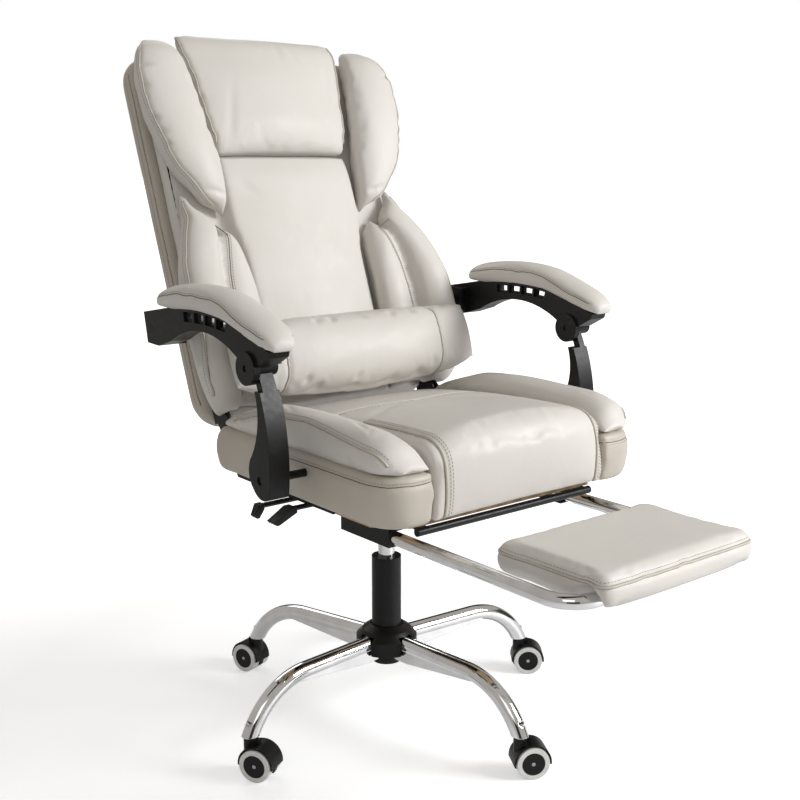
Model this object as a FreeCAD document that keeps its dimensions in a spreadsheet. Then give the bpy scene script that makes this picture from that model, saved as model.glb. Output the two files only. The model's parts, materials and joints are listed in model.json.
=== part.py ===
import FreeCAD, Part
import math
import os

import Sketcher
from FreeCAD import Placement, Rotation, Vector

os.makedirs("parts", exist_ok=True)
doc = FreeCAD.newDocument("ReclinerChair")
sheet = doc.addObject("Spreadsheet::Sheet", "Sizes")

# Driving sizes in millimetres and degrees
# +Z is up, the sitter faces -Y, and the origin is on the column axis at the floor.
SIZES = {
    # five-leg base
    "star_radius": 300,
    "star_turn": 51.1,
    "leg_diameter": 27,
    "leg_root_radius": 30,
    "leg_height": 139,
    "leg_bend_radius": 125,
    "leg_bend_angle": 62,
    "foot_shift": 6,
    "leg_foot_height": 66,
    "rib_depth": 28,
    "rib_width": 22,
    "rib_reach": 205,
    "hub_radius": 52,
    "hub_foot_radius": 29,
    "hub_bottom": 103,
    "hub_belt": 136,
    "hub_top": 166,
    # casters
    "wheel_diameter": 52,
    "wheel_disc_diameter": 37,
    "wheel_width": 16,
    "wheel_gap": 1,
    "hood_web": 8,
    "hood_wall": 2.6,
    "hood_gap": 1.4,
    "caster_trail": 17,
    "stem_diameter": 11,
    "stem_length": 26,
    "axle_diameter": 6,
    # lift column
    "column_diameter": 50,
    "column_wall": 2,
    "column_top": 284,
    "bushing_length": 55,
    "cylinder_diameter": 28,
    "cylinder_wall": 2.5,
    "cylinder_bottom": 205,
    "rod_diameter": 10,
    "rod_top": 262,
    "bearing_height": 8,
    # seat structure
    "board_bottom": 441,
    "board_thickness": 12,
    "board_half_width": 221.5,
    "board_front": 285,
    "board_rear": 105,
    "mechanism_half_width": 88,
    "mechanism_front": 125,
    "mechanism_rear": 110,
    "mechanism_depth": 30,
    "sheet_metal": 3,
    "flange_overhang": 30,
    "bolt_diameter": 8,
    "side_plate_thickness": 4,
    # seat upholstery
    "seat_half_width": 259,
    "seat_front": 330,
    "seat_rear": 112,
    "box_rear": 134,
    "box_height": 75,
    "box_slant_height": 24,
    "cushion_half_width": 173,
    "cushion_crest": 570,
    "cushion_crown": 13,
    "cushion_rear_top": 538,
    "bolster_seam_height": 556,
    "bolster_crest": 585,
    # pivots of the backrest and the arm linkage
    "back_lean": 21,
    "hinge_y": 147,
    "hinge_z": 528,
    "hinge_pin_diameter": 12,
    "arm_link_y": 16,
    "arm_link_z": 159,
    "upright_pivot_y": -134,
    "upright_pivot_z": 503,
    # backrest
    "back_height": 652,
    "back_bottom_drop": 8,
    "back_half_width": 243,
    "shell_thickness": 43,
    "core_thickness": 32,
    "core_half_width": 229,
    "panel_front": 20,
    "panel_crown": 12,
    "head_bottom": 446,
    "head_top": 682,
    "frame_bar": 5,
    "wing_undercut": 11,
    "bolster_undercut": 26,
    "pillow_half_length": 255,
    "pillow_depth": 100,
    "pillow_height": 166,
    "pillow_centre": 71.3,
    "pillow_stand_off": 40,
    # arms
    "arm_inner": 288,
    "arm_outer": 341,
    "arm_centre": 320,
    "pad_half_width": 34,
    "pad_thickness": 20,
    "pad_crown": 11,
    "pad_setback": 14,
    "rail_width": 34,
    "rail_depth": 33,
    "rail_web": 6,
    "rail_web_depth": 4,
    "disc_radius": 24,
    "disc_thickness": 11,
    "knuckle_radius": 13,
    "hood_radius": 17,
    "upright_width": 33,
    "arm_pin_diameter": 10,
    # footrest
    "rail_spacing": 176,
    "tube_diameter": 20,
    "tube_height": 416,
    "tube_rear": 180,
    "cross_tube_y": 585,
    "tube_bend": 45,
    "footpad_half_width": 158,
    "footpad_rear": 417,
    "footpad_front": 620,
    "footpad_bottom": 411,
    "footpad_thickness": 41,
    "crossbar_diameter": 12,
    "crossbar_y": 292,
    "crossbar_z": 436,
    "lug_width": 14,
    "guide_wall": 2.5,
    "guide_front": 245,
    "guide_length": 115,
    # levers
    "lever_rod_diameter": 8,
    "lever_height": 433.5,
    "height_lever_y": 80,
    "recline_lever_y": 38,
    # clearances
    "running_fit": 0.06,
    "seat_gap": 0.3,
}

# Directions of the five legs, counted from the rear one, and of the casters under them
LEG_TURNS = (0, 55, 135.5, 224.5, 305)
CASTER_HEADINGS = (-129, -72, 119, 151, 141)


def fill_sheet():
    for row, (alias, value) in enumerate(SIZES.items(), start=1):
        cell = "A%d" % row
        sheet.set(cell, str(value))
        sheet.setAlias(cell, alias)
    doc.recompute()


fill_sheet()


def size(alias):
    return float(sheet.get(alias))


nodes = {}


def finish(feature, name):
    """Give a finished sub-part the name of its own file."""
    feature.Label = name
    nodes[name] = feature
    return feature


def bind(feature, **expressions):
    for prop, expression in expressions.items():
        feature.setExpression(prop, str(expression))
    return feature


def place(feature, x="0", y="0", z="0"):
    feature.setExpression(".Placement.Base.x", str(x))
    feature.setExpression(".Placement.Base.y", str(y))
    feature.setExpression(".Placement.Base.z", str(z))
    return feature


def cylinder(name, radius, height, x="0", y="0", z="0", along="z"):
    """A bound cylinder that grows from its base point along +x, +y or +z."""
    feature = doc.addObject("Part::Cylinder", name)
    turns = {"x": Rotation(Vector(0, 1, 0), 90), "y": Rotation(Vector(1, 0, 0), -90), "z": Rotation()}
    feature.Placement = Placement(Vector(), turns[along])
    bind(feature, Radius=radius, Height=height)
    return place(feature, x, y, z)


def block(name, length, width, height, x="0", y="0", z="0"):
    feature = doc.addObject("Part::Box", name)
    bind(feature, Length=length, Width=width, Height=height)
    return place(feature, x, y, z)


def cut(name, base, tool):
    feature = doc.addObject("Part::Cut", name)
    feature.Base = base
    feature.Tool = tool
    return feature


def fuse(name, *shapes):
    feature = doc.addObject("Part::MultiFuse", name)
    feature.Shapes = list(shapes)
    return feature


def solid(name, shape, placement=None):
    """A sub-part whose outline neither sketches nor primitives can draw."""
    feature = doc.addObject("Part::Feature", name)
    feature.Shape = shape
    if placement is not None:
        feature.Placement = placement
    return finish(feature, name)


def origin_plane(body, role):
    return next(item for item in body.Origin.OriginFeatures if item.Role == role)


def sketch_on(body, name, plane, offset=None):
    sketch = body.newObject("Sketcher::SketchObject", name)
    sketch.AttachmentSupport = [(origin_plane(body, plane), "")]
    sketch.MapMode = "FlatFace"
    if offset is not None:
        sketch.setExpression(".AttachmentOffset.Base.z", offset)
    return sketch


def draw_polygon(sketch, corners):
    """Closed outline whose every corner is bound to the sheet."""
    count = len(corners)
    for index in range(count):
        first = 2 * math.pi * index / count
        second = 2 * math.pi * (index + 1) / count
        start = Vector(math.cos(first), math.sin(first), 0)
        end = Vector(math.cos(second), math.sin(second), 0)
        sketch.addGeometry(Part.LineSegment(start, end), False)
    for index in range(count):
        sketch.addConstraint(Sketcher.Constraint("Coincident", index, 2, (index + 1) % count, 1))
    for index, (across, up) in enumerate(corners):
        for kind, expression in (("DistanceX", across), ("DistanceY", up)):
            number = sketch.addConstraint(Sketcher.Constraint(kind, -1, 1, index, 1, 1.0))
            sketch.setExpression("Constraints[%d]" % number, str(expression))


def draw_circle(sketch, radius, across="0", up="0"):
    sketch.addGeometry(Part.Circle(Vector(1, 1, 0), Vector(0, 0, 1), 5), False)
    circle = sketch.GeometryCount - 1
    number = sketch.addConstraint(Sketcher.Constraint("Radius", circle, 5.0))
    sketch.setExpression("Constraints[%d]" % number, str(radius))
    for kind, expression in (("DistanceX", across), ("DistanceY", up)):
        number = sketch.addConstraint(Sketcher.Constraint(kind, -1, 1, circle, 3, 1.0))
        sketch.setExpression("Constraints[%d]" % number, str(expression))


# Lofted forms

STRIP_STEP = 20.0


def edge_between(start, end, bulge):
    """A line, or an arc whose middle stands off the chord by the bulge vector."""
    if bulge.Length < 1e-6:
        return Part.LineSegment(start, end).toShape()
    return Part.Arc(start, (start + end) * 0.5 + bulge, end).toShape()


def closed_wire(points, bulges):
    count = len(points)
    edges = []
    for index in range(count):
        edges.append(edge_between(points[index], points[(index + 1) % count], bulges[index]))
    return Part.Wire(edges)


def loft(wires, ruled=False):
    return Part.makeLoft(wires, True, ruled)


def rounded_outline(half_width, low, high, low_radius, high_radius, level, make, arch=0.0):
    """Rectangle with round corners, as four sides and four quarter arcs."""
    diagonal = math.sqrt(0.5)
    corners = (
        (half_width, low, low_radius, -90, 1, 1),
        (half_width, high, high_radius, 0, 1, -1),
        (-half_width, high, high_radius, 90, -1, -1),
        (-half_width, low, low_radius, 180, -1, 1),
    )
    edges = []
    previous = None
    first = None
    for x, v, radius, _, side_x, side_v in corners:
        centre = (x - side_x * radius, v + side_v * radius)
        across = (centre[0] + side_x * radius, centre[1])
        upright = (centre[0], centre[1] - side_v * radius)
        start, end = (upright, across) if side_x * side_v > 0 else (across, upright)
        middle = (centre[0] + side_x * radius * diagonal, centre[1] - side_v * radius * diagonal)
        if previous is not None:
            edges.append((previous, start))
        else:
            first = start
        edges.append((start, middle, end))
        previous = end
    edges.append((previous, first))
    shapes = []
    for item in edges:
        ends = [make(point[0], point[1], level) for point in item]
        if len(ends) == 3:
            shapes.append(Part.Arc(*ends).toShape())
        elif arch and item[0][1] > (low + high) / 2 and abs(item[0][1] - item[1][1]) < 1e-6:
            shapes.append(edge_between(ends[0], ends[1], make(0, arch, 0)))
        else:
            shapes.append(Part.LineSegment(*ends).toShape())
    return Part.Wire(shapes)


def smooth_value(knots, values, at):
    """Cubic through the knots that never swings past them."""
    slopes = []
    for index in range(len(knots) - 1):
        slopes.append((values[index + 1] - values[index]) / (knots[index + 1] - knots[index]))
    tangents = [slopes[0]]
    for before, after in zip(slopes, slopes[1:]):
        tangents.append(2 * before * after / (before + after) if before * after > 0 else 0.0)
    tangents.append(slopes[-1])
    index = 0
    while index < len(knots) - 2 and at > knots[index + 1]:
        index += 1
    span = knots[index + 1] - knots[index]
    share = (at - knots[index]) / span
    start, end = values[index], values[index + 1]
    return (
        (1 + 2 * share) * (1 - share) ** 2 * start
        + share**2 * (3 - 2 * share) * end
        + share * (1 - share) ** 2 * span * tangents[index]
        + share**2 * (share - 1) * span * tangents[index + 1]
    )


def even_stations(stations, step):
    """The same form at even spacing, so that the loft through it stays calm."""
    columns = list(zip(*stations))
    knots = columns[0]
    count = max(3, round((knots[-1] - knots[0]) / step))
    rows = []
    for index in range(count + 1):
        at = knots[0] + (knots[-1] - knots[0]) * index / count
        rows.append((at,) + tuple(smooth_value(knots, column, at) for column in columns[1:]))
    return rows


def flat_plan(x, y, z):
    return Vector(x, y, z)


def upright_plan(x, v, w):
    return Vector(x, w, v)


def slab(bottom, top, insets, make, half_width, low, high, low_radius, high_radius, arch=0.0):
    """Padded slab: the same outline at even levels, drawn in by a margin at each."""
    wires = []
    for index, inset in enumerate(insets):
        level = bottom + (top - bottom) * index / (len(insets) - 1)
        wires.append(
            rounded_outline(
                half_width - inset,
                low + inset,
                high - inset,
                low_radius - inset / 2,
                high_radius - inset / 2,
                level,
                make,
                arch,
            )
        )
    return loft(wires)


def padded_strip(stations, back, side, undercut):
    """Stuffed strip up the backrest, from (height, inner, outer, front, crown) stations.

    Its outer side leans inwards towards the back by the undercut.
    """
    wires = []
    for height, inner, outer, front, crown in even_stations(stations, STRIP_STEP):
        points = [
            Vector(side * inner, back, height),
            Vector(side * (outer - min(undercut, (outer - inner) / 3)), back, height),
            Vector(side * outer, front, height),
            Vector(side * inner, front, height),
        ]
        bulges = [Vector(), Vector(side * crown * 0.12, 0, 0), Vector(0, -crown, 0), Vector()]
        wires.append(closed_wire(points, bulges))
    return loft(wires)


def box_shape(x0, x1, y0, y1, z0, z1):
    return Part.makeBox(x1 - x0, y1 - y0, z1 - z0, Vector(x0, y0, z0))


def rod_shape(x0, x1, y, z, radius):
    """A round bar along x."""
    return Part.makeCylinder(radius, abs(x1 - x0), Vector(min(x0, x1), y, z), Vector(1, 0, 0))


# Base: hub, legs and column


def leg_direction(number):
    return size("star_turn") + LEG_TURNS[number - 1]


def make_hub():
    """Turned hub with a socket for the root of each leg."""
    body = doc.addObject("PartDesign::Body", "hub_body")
    profile = sketch_on(body, "hub_profile", "XZ_Plane")
    bore = "Sizes.column_diameter / 2 + Sizes.running_fit"
    draw_polygon(
        profile,
        (
            (bore, "Sizes.hub_bottom"),
            ("Sizes.hub_foot_radius", "Sizes.hub_bottom"),
            ("Sizes.hub_foot_radius + 2", "Sizes.hub_bottom + 12"),
            ("Sizes.hub_radius", "Sizes.hub_belt - 14"),
            ("Sizes.hub_radius", "Sizes.hub_belt + 10"),
            ("Sizes.hub_radius - 11", "Sizes.hub_top - 8"),
            ("Sizes.hub_foot_radius", "Sizes.hub_top"),
            (bore, "Sizes.hub_top"),
        ),
    )
    doc.recompute()
    turned = body.newObject("PartDesign::Revolution", "hub_turned")
    turned.Profile = profile
    turned.ReferenceAxis = (profile, ["V_Axis"])
    turned.Angle = 360
    doc.recompute()
    sockets = []
    for number in range(1, 6):
        half = "(Sizes.leg_diameter / 2 + Sizes.seat_gap)"
        low = "(Sizes.leg_height - Sizes.rib_depth - Sizes.seat_gap)"
        high = "(Sizes.leg_height + Sizes.leg_diameter / 2 + Sizes.seat_gap)"
        socket = block("leg_socket_%d" % number, "Sizes.hub_radius", "2 * " + half, high + " - " + low)
        turn = "(Sizes.star_turn + %s) * 1 deg" % LEG_TURNS[number - 1]
        root = "(Sizes.leg_root_radius - Sizes.seat_gap)"
        socket.Placement = Placement(Vector(), Rotation(Vector(0, 0, 1), leg_direction(number)))
        place(
            socket,
            "%s * cos(%s) + %s * sin(%s)" % (root, turn, half, turn),
            "%s * sin(%s) - %s * cos(%s)" % (root, turn, half, turn),
            low,
        )
        sockets.append(socket)
    finish(cut("hub_socketed", body, fuse("leg_sockets", *sockets)), "base_hub")


def make_leg(number):
    """One steel leg: a tube that bends down to its foot, with a rib under its root."""
    body = doc.addObject("PartDesign::Body", "leg_body_%d" % number)
    spine = sketch_on(body, "leg_spine_%d" % number, "XZ_Plane")
    bend, angle = size("leg_bend_radius"), math.radians(size("leg_bend_angle"))
    foot_radius = size("star_radius") + size("foot_shift")
    end_height = size("leg_height") - bend * (1 - math.cos(angle))
    tail = (end_height - size("leg_foot_height") + size("leg_diameter") / 2) / math.sin(angle)
    bend_start = foot_radius - tail * math.cos(angle) - bend * math.sin(angle)
    root = Vector(size("leg_root_radius"), size("leg_height"), 0)
    corner = Vector(bend_start, size("leg_height"), 0)
    centre = Vector(bend_start, size("leg_height") - bend, 0)
    bend_end = centre + Vector(math.sin(angle), math.cos(angle), 0) * bend
    foot = bend_end + Vector(math.cos(angle), -math.sin(angle), 0) * tail
    spine.addGeometry(Part.LineSegment(root, corner), False)
    arc = Part.Circle(centre, Vector(0, 0, 1), bend)
    spine.addGeometry(Part.ArcOfCircle(arc, math.pi / 2 - angle, math.pi / 2), False)
    spine.addGeometry(Part.LineSegment(bend_end, foot), False)
    spine.addConstraint(Sketcher.Constraint("Tangent", 0, 2, 1, 2))
    spine.addConstraint(Sketcher.Constraint("Tangent", 1, 1, 2, 1))
    spine.addConstraint(Sketcher.Constraint("Horizontal", 0))
    bound = (
        (Sketcher.Constraint("Radius", 1, bend), "Sizes.leg_bend_radius"),
        (Sketcher.Constraint("DistanceX", -1, 1, 0, 1, root.x), "Sizes.leg_root_radius"),
        (Sketcher.Constraint("DistanceY", -1, 1, 0, 1, root.y), "Sizes.leg_height"),
        (Sketcher.Constraint("DistanceX", -1, 1, 2, 2, foot.x), "Sizes.star_radius + Sizes.foot_shift"),
        (Sketcher.Constraint("DistanceY", -1, 1, 2, 2, foot.y), "Sizes.leg_foot_height - Sizes.leg_diameter / 2"),
        (Sketcher.Constraint("Angle", 2, -angle), "-Sizes.leg_bend_angle * 1 deg"),
    )
    for constraint, expression in bound:
        spine.setExpression("Constraints[%d]" % spine.addConstraint(constraint), expression)
    section = sketch_on(body, "leg_section_%d" % number, "YZ_Plane", "Sizes.leg_root_radius")
    draw_circle(section, "Sizes.leg_diameter / 2", "0", "Sizes.leg_height")
    doc.recompute()
    tube = body.newObject("PartDesign::AdditivePipe", "leg_tube_%d" % number)
    tube.Profile = section
    tube.Spine = (spine, ["Edge1", "Edge2", "Edge3"])
    doc.recompute()
    side = sketch_on(body, "leg_rib_side_%d" % number, "XZ_Plane")
    under = "Sizes.leg_height - Sizes.rib_depth"
    draw_polygon(
        side,
        (
            ("Sizes.leg_root_radius", "Sizes.leg_height"),
            ("Sizes.leg_root_radius", under),
            ("Sizes.hub_radius + 8", under),
            ("Sizes.rib_reach", "Sizes.leg_height - Sizes.leg_diameter / 2 + 2"),
            ("Sizes.rib_reach", "Sizes.leg_height"),
        ),
    )
    doc.recompute()
    rib = body.newObject("PartDesign::Pad", "leg_rib_%d" % number)
    rib.Profile = side
    rib.Midplane = True
    rib.setExpression("Length", "Sizes.rib_width")
    doc.recompute()
    floor_sketch = sketch_on(body, "foot_floor_%d" % number, "XY_Plane", "Sizes.leg_foot_height")
    draw_circle(floor_sketch, "2 * Sizes.leg_diameter", "Sizes.star_radius")
    doc.recompute()
    flat = body.newObject("PartDesign::Pocket", "foot_flat_%d" % number)
    flat.Profile = floor_sketch
    flat.setExpression("Length", "2 * Sizes.leg_diameter")
    doc.recompute()
    before = body.Shape.Volume
    hole_sketch = sketch_on(body, "stem_hole_outline_%d" % number, "XY_Plane", "Sizes.leg_foot_height")
    draw_circle(hole_sketch, "Sizes.stem_diameter / 2 + Sizes.running_fit", "Sizes.star_radius")
    doc.recompute()
    hole = body.newObject("PartDesign::Pocket", "stem_hole_%d" % number)
    hole.Profile = hole_sketch
    hole.Reversed = True
    hole.setExpression("Length", "Sizes.stem_length - 3")
    doc.recompute()
    if not body.Shape.Volume < before:
        raise RuntimeError("the stem hole cut nothing from leg %d" % number)
    body.Placement = Placement(Vector(), Rotation(Vector(0, 0, 1), leg_direction(number)))
    finish(body, "base_leg_%d" % number)


def make_column():
    """Outer tube with its end plate, the guide bushing at its mouth and the thrust bearing."""
    bottom = "Sizes.hub_bottom - 4"
    outer = cylinder(
        "column_outside", "Sizes.column_diameter / 2", "Sizes.column_top - Sizes.hub_bottom + 4", z=bottom
    )
    bore = cylinder(
        "column_bore",
        "Sizes.column_diameter / 2 - Sizes.column_wall",
        "Sizes.column_top",
        z=bottom + " + Sizes.column_wall",
    )
    rod_hole = cylinder("column_rod_hole", "Sizes.rod_diameter / 2 + Sizes.running_fit", "20", z=bottom + " - 5")
    finish(cut("column_open", cut("column_bored", outer, bore), rod_hole), "column_tube")

    sleeve = cylinder(
        "bushing_outside",
        "Sizes.column_diameter / 2 - Sizes.column_wall - Sizes.running_fit",
        "Sizes.bushing_length",
        z="Sizes.column_top - Sizes.bushing_length",
    )
    lip = cylinder("bushing_lip", "Sizes.column_diameter / 2", "3", z="Sizes.column_top")
    bushing_bore = cylinder(
        "bushing_bore",
        "Sizes.cylinder_diameter / 2 + Sizes.running_fit",
        "Sizes.bushing_length + 10",
        z="Sizes.column_top - Sizes.bushing_length - 2",
    )
    finish(cut("bushing_cut", fuse("bushing_body", sleeve, lip), bushing_bore), "guide_bushing")

    race = cylinder(
        "bearing_outside",
        "Sizes.column_diameter / 2 - Sizes.column_wall - 4",
        "Sizes.bearing_height",
        z=bottom + " + Sizes.column_wall",
    )
    race_bore = cylinder(
        "bearing_bore", "Sizes.rod_diameter / 2 + Sizes.running_fit", "Sizes.bearing_height + 4", z=bottom
    )
    groove = doc.addObject("Part::Torus", "bearing_groove")
    bind(groove, Radius1="Sizes.column_diameter / 2 - Sizes.column_wall - 4", Radius2="2")
    place(groove, z=bottom + " + Sizes.column_wall + Sizes.bearing_height / 2")
    finish(cut("bearing_grooved", cut("bearing_bored", race, race_bore), groove), "thrust_bearing")


def make_lift():
    """Piston rod on the bearing, and the gas cylinder that rides up and down on it."""
    bottom = "Sizes.hub_bottom - 4"
    rod = cylinder("rod_shaft", "Sizes.rod_diameter / 2", "Sizes.rod_top - Sizes.hub_bottom + 6", z=bottom + " - 2")
    collar = cylinder(
        "rod_collar",
        "Sizes.rod_diameter / 2 + 5",
        "4",
        z=bottom + " + Sizes.column_wall + Sizes.bearing_height + Sizes.seat_gap",
    )
    piston = cylinder(
        "rod_piston",
        "Sizes.cylinder_diameter / 2 - Sizes.cylinder_wall - Sizes.seat_gap",
        "12",
        z="Sizes.rod_top - 12",
    )
    finish(fuse("rod_parts", rod, collar, piston), "piston_rod")

    outside = cylinder(
        "lift_outside",
        "Sizes.cylinder_diameter / 2",
        "Sizes.board_bottom - 3 - Sizes.cylinder_bottom",
        z="Sizes.cylinder_bottom",
    )
    chamber = cylinder(
        "lift_chamber",
        "Sizes.cylinder_diameter / 2 - Sizes.cylinder_wall",
        "Sizes.board_bottom - 60 - Sizes.cylinder_bottom",
        z="Sizes.cylinder_bottom + 10",
    )
    gland = cylinder(
        "lift_gland", "Sizes.rod_diameter / 2 + Sizes.running_fit", "20", z="Sizes.cylinder_bottom - 2"
    )
    finish(cut("lift_open", cut("lift_hollow", outside, chamber), gland), "gas_cylinder")


# Casters


def make_caster(number):
    """Hooded twin-wheel caster, drawn at its own stem axis and then placed under its leg."""
    axle_z = "Sizes.wheel_diameter / 2"
    trail = "-Sizes.caster_trail"
    reach = "(Sizes.hood_web / 2 + Sizes.wheel_gap + Sizes.wheel_width)"
    tag = "_%d" % number

    stem = cylinder(
        "stem" + tag, "Sizes.stem_diameter / 2", "Sizes.stem_length + 11", z="Sizes.leg_foot_height - 16"
    )
    axle = cylinder("axle" + tag, "Sizes.axle_diameter / 2", "2 * " + reach, trail, "-" + reach, axle_z, "y")
    pins = doc.addObject("Part::Compound", "pins" + tag)
    pins.Links = [stem, axle]

    outer = "(Sizes.wheel_diameter / 2 + Sizes.hood_gap + Sizes.hood_wall)"
    inner = "(Sizes.wheel_diameter / 2 + Sizes.hood_gap)"
    shell_width = "(2 * (Sizes.hood_web / 2 + Sizes.wheel_gap + Sizes.wheel_width) - 5)"
    drum = cylinder("hood_drum" + tag, outer, shell_width, trail, "-%s / 2" % shell_width, axle_z, "y")
    well = cylinder("hood_well" + tag, inner, "80", trail, "-40", axle_z, "y")
    shell = cut("hood_arc" + tag, drum, well)
    below = block("hood_below" + tag, "120", "120", "60", trail + " - 60", "-60", axle_z + " - 63")
    shell = cut("hood_shell" + tag, shell, below)
    web = cylinder("hood_web" + tag, inner + " + 1", "Sizes.hood_web", trail, "-Sizes.hood_web / 2", axle_z, "y")
    web_trim = block("hood_web_trim" + tag, "120", "120", "60", trail + " - 60", "-60", axle_z + " - 74")
    web = cut("hood_web_cut" + tag, web, web_trim)
    boss = cylinder(
        "hood_boss" + tag,
        "Sizes.stem_diameter / 2 + 5",
        "Sizes.leg_foot_height - 0.4 - Sizes.wheel_diameter / 2",
        z=axle_z,
    )
    boss_well = cut("hood_boss_cut" + tag, boss, cylinder("boss_well" + tag, inner, "80", trail, "-40", axle_z, "y"))
    spine = block(
        "hood_spine" + tag,
        "Sizes.caster_trail + 5",
        "Sizes.hood_web",
        "Sizes.leg_foot_height - 1 - Sizes.wheel_diameter",
        "-Sizes.caster_trail",
        "-Sizes.hood_web / 2",
        "Sizes.wheel_diameter - 2",
    )
    hood = fuse("hood_parts" + tag, shell, web, boss_well, spine)
    stem_bore = cylinder(
        "hood_stem_bore" + tag,
        "Sizes.stem_diameter / 2 + Sizes.running_fit",
        "80",
        z="Sizes.leg_foot_height - 16.2",
    )
    axle_bore = cylinder(
        "hood_axle_bore" + tag, "Sizes.axle_diameter / 2 + Sizes.running_fit", "60", trail, "-30", axle_z, "y"
    )
    hood = cut("hood_bored" + tag, cut("hood_stemmed" + tag, hood, stem_bore), axle_bore)

    inner_face = "(Sizes.hood_web / 2 + Sizes.wheel_gap)"
    discs = []
    tyres = []
    for side, start in (("near", "-" + inner_face + " - Sizes.wheel_width"), ("far", inner_face)):
        name = side + tag
        disc = cylinder(
            "disc_" + name, "Sizes.wheel_disc_diameter / 2", "Sizes.wheel_width", trail, start, axle_z, "y"
        )
        hole = cylinder(
            "disc_hole_" + name, "Sizes.axle_diameter / 2 + Sizes.running_fit", "60", trail, "-30", axle_z, "y"
        )
        discs.append(cut("wheel_disc_" + name, disc, hole))
        rim = cylinder("rim_" + name, "Sizes.wheel_diameter / 2", "Sizes.wheel_width", trail, start, axle_z, "y")
        rim_bore = cylinder(
            "rim_bore_" + name,
            "Sizes.wheel_disc_diameter / 2",
            "60",
            trail,
            "-30",
            axle_z,
            "y",
        )
        tyres.append(cut("tyre_" + name, rim, rim_bore))
    wheels = doc.addObject("Part::Compound", "wheels" + tag)
    wheels.Links = discs
    tyre_pair = doc.addObject("Part::Compound", "tyres" + tag)
    tyre_pair.Links = tyres

    doc.recompute()
    bearing = math.radians(leg_direction(number))
    foot = Vector(size("star_radius") * math.cos(bearing), size("star_radius") * math.sin(bearing), 0)
    where = Placement(foot, Rotation(Vector(0, 0, 1), CASTER_HEADINGS[number - 1]))
    for feature, kind in ((pins, "pins"), (hood, "hood"), (wheels, "wheels"), (tyre_pair, "tyres")):
        feature.Placement = where
        finish(feature, "caster_%s_%d" % (kind, number))


# Seat structure


def make_seat_board():
    body = doc.addObject("PartDesign::Body", "board_body")
    plan = sketch_on(body, "board_plan", "XY_Plane", "Sizes.board_bottom")
    wide = "Sizes.board_half_width"
    chop = "40"
    draw_polygon(
        plan,
        (
            ("-%s + %s" % (wide, chop), "-Sizes.board_front"),
            ("%s - %s" % (wide, chop), "-Sizes.board_front"),
            (wide, "-Sizes.board_front + " + chop),
            (wide, "Sizes.board_rear"),
            ("-" + wide, "Sizes.board_rear"),
            ("-" + wide, "-Sizes.board_front + " + chop),
        ),
    )
    doc.recompute()
    pad = body.newObject("PartDesign::Pad", "board_sheet")
    pad.Profile = plan
    pad.setExpression("Length", "Sizes.board_thickness")
    doc.recompute()
    before = body.Shape.Volume
    holes = sketch_on(body, "board_holes", "XY_Plane", "Sizes.board_bottom")
    for across, along in bolt_places():
        draw_circle(holes, "Sizes.bolt_diameter / 2 + Sizes.seat_gap", across, along)
    doc.recompute()
    drilled = body.newObject("PartDesign::Pocket", "board_drilled")
    drilled.Profile = holes
    drilled.Reversed = True
    drilled.setExpression("Length", "Sizes.board_thickness")
    doc.recompute()
    if not body.Shape.Volume < before:
        raise RuntimeError("the bolt holes cut nothing from the seat board")
    finish(body, "seat_board")


def bolt_places():
    across = "(Sizes.mechanism_half_width + Sizes.flange_overhang / 2)"
    front = "-(Sizes.mechanism_front - 12)"
    rear = "(Sizes.mechanism_rear - 12)"
    return [(sign + across, along) for sign in ("", "-") for along in (front, rear)]


def make_mechanism():
    """Pressed tray under the seat board with the socket for the gas cylinder."""
    half = "Sizes.mechanism_half_width"
    deep = "Sizes.mechanism_depth"
    length = "(Sizes.mechanism_front + Sizes.mechanism_rear)"
    floor = "Sizes.board_bottom - " + deep
    tray = block("tray_outside", "2 * " + half, length, deep, "-" + half, "-Sizes.mechanism_front", floor)
    hollow = block(
        "tray_inside",
        "2 * (%s - Sizes.sheet_metal)" % half,
        length + " - 2 * Sizes.sheet_metal",
        deep,
        "-%s + Sizes.sheet_metal" % half,
        "-Sizes.mechanism_front + Sizes.sheet_metal",
        floor + " + Sizes.sheet_metal",
    )
    tray = cut("tray_open", tray, hollow)
    flange = block(
        "tray_flange",
        "2 * (%s + Sizes.flange_overhang)" % half,
        length,
        "Sizes.sheet_metal",
        "-%s - Sizes.flange_overhang" % half,
        "-Sizes.mechanism_front",
        "Sizes.board_bottom - Sizes.sheet_metal",
    )
    flange_window = block(
        "flange_window",
        "2 * (%s - Sizes.sheet_metal)" % half,
        length + " - 2 * Sizes.sheet_metal",
        "10",
        "-%s + Sizes.sheet_metal" % half,
        "-Sizes.mechanism_front + Sizes.sheet_metal",
        "Sizes.board_bottom - 6",
    )
    flange = cut("flange_open", flange, flange_window)
    socket = cylinder("socket_outside", "Sizes.cylinder_diameter / 2 + 6", deep + " - 2", z=floor)
    body = fuse("tray_parts", tray, flange, socket)
    bores = [cylinder("socket_bore", "Sizes.cylinder_diameter / 2 + Sizes.running_fit", "80", z=floor + " - 10")]
    for name, along in (("height_rod_hole", "-Sizes.height_lever_y"), ("recline_rod_hole", "-Sizes.recline_lever_y")):
        bores.append(
            cylinder(
                name,
                "Sizes.lever_rod_diameter / 2 + Sizes.running_fit",
                "2 * Sizes.sheet_metal",
                "-%s - Sizes.sheet_metal / 2" % half,
                along,
                "Sizes.lever_height",
                "x",
            )
        )
    for number, (across, along) in enumerate(bolt_places()):
        bores.append(
            cylinder(
                "flange_hole_%d" % number,
                "Sizes.bolt_diameter / 2 + Sizes.seat_gap",
                "10",
                across,
                along,
                "Sizes.board_bottom - 6",
            )
        )
    finish(cut("tray_drilled", body, fuse("tray_bores", *bores)), "tilt_mechanism")


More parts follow.
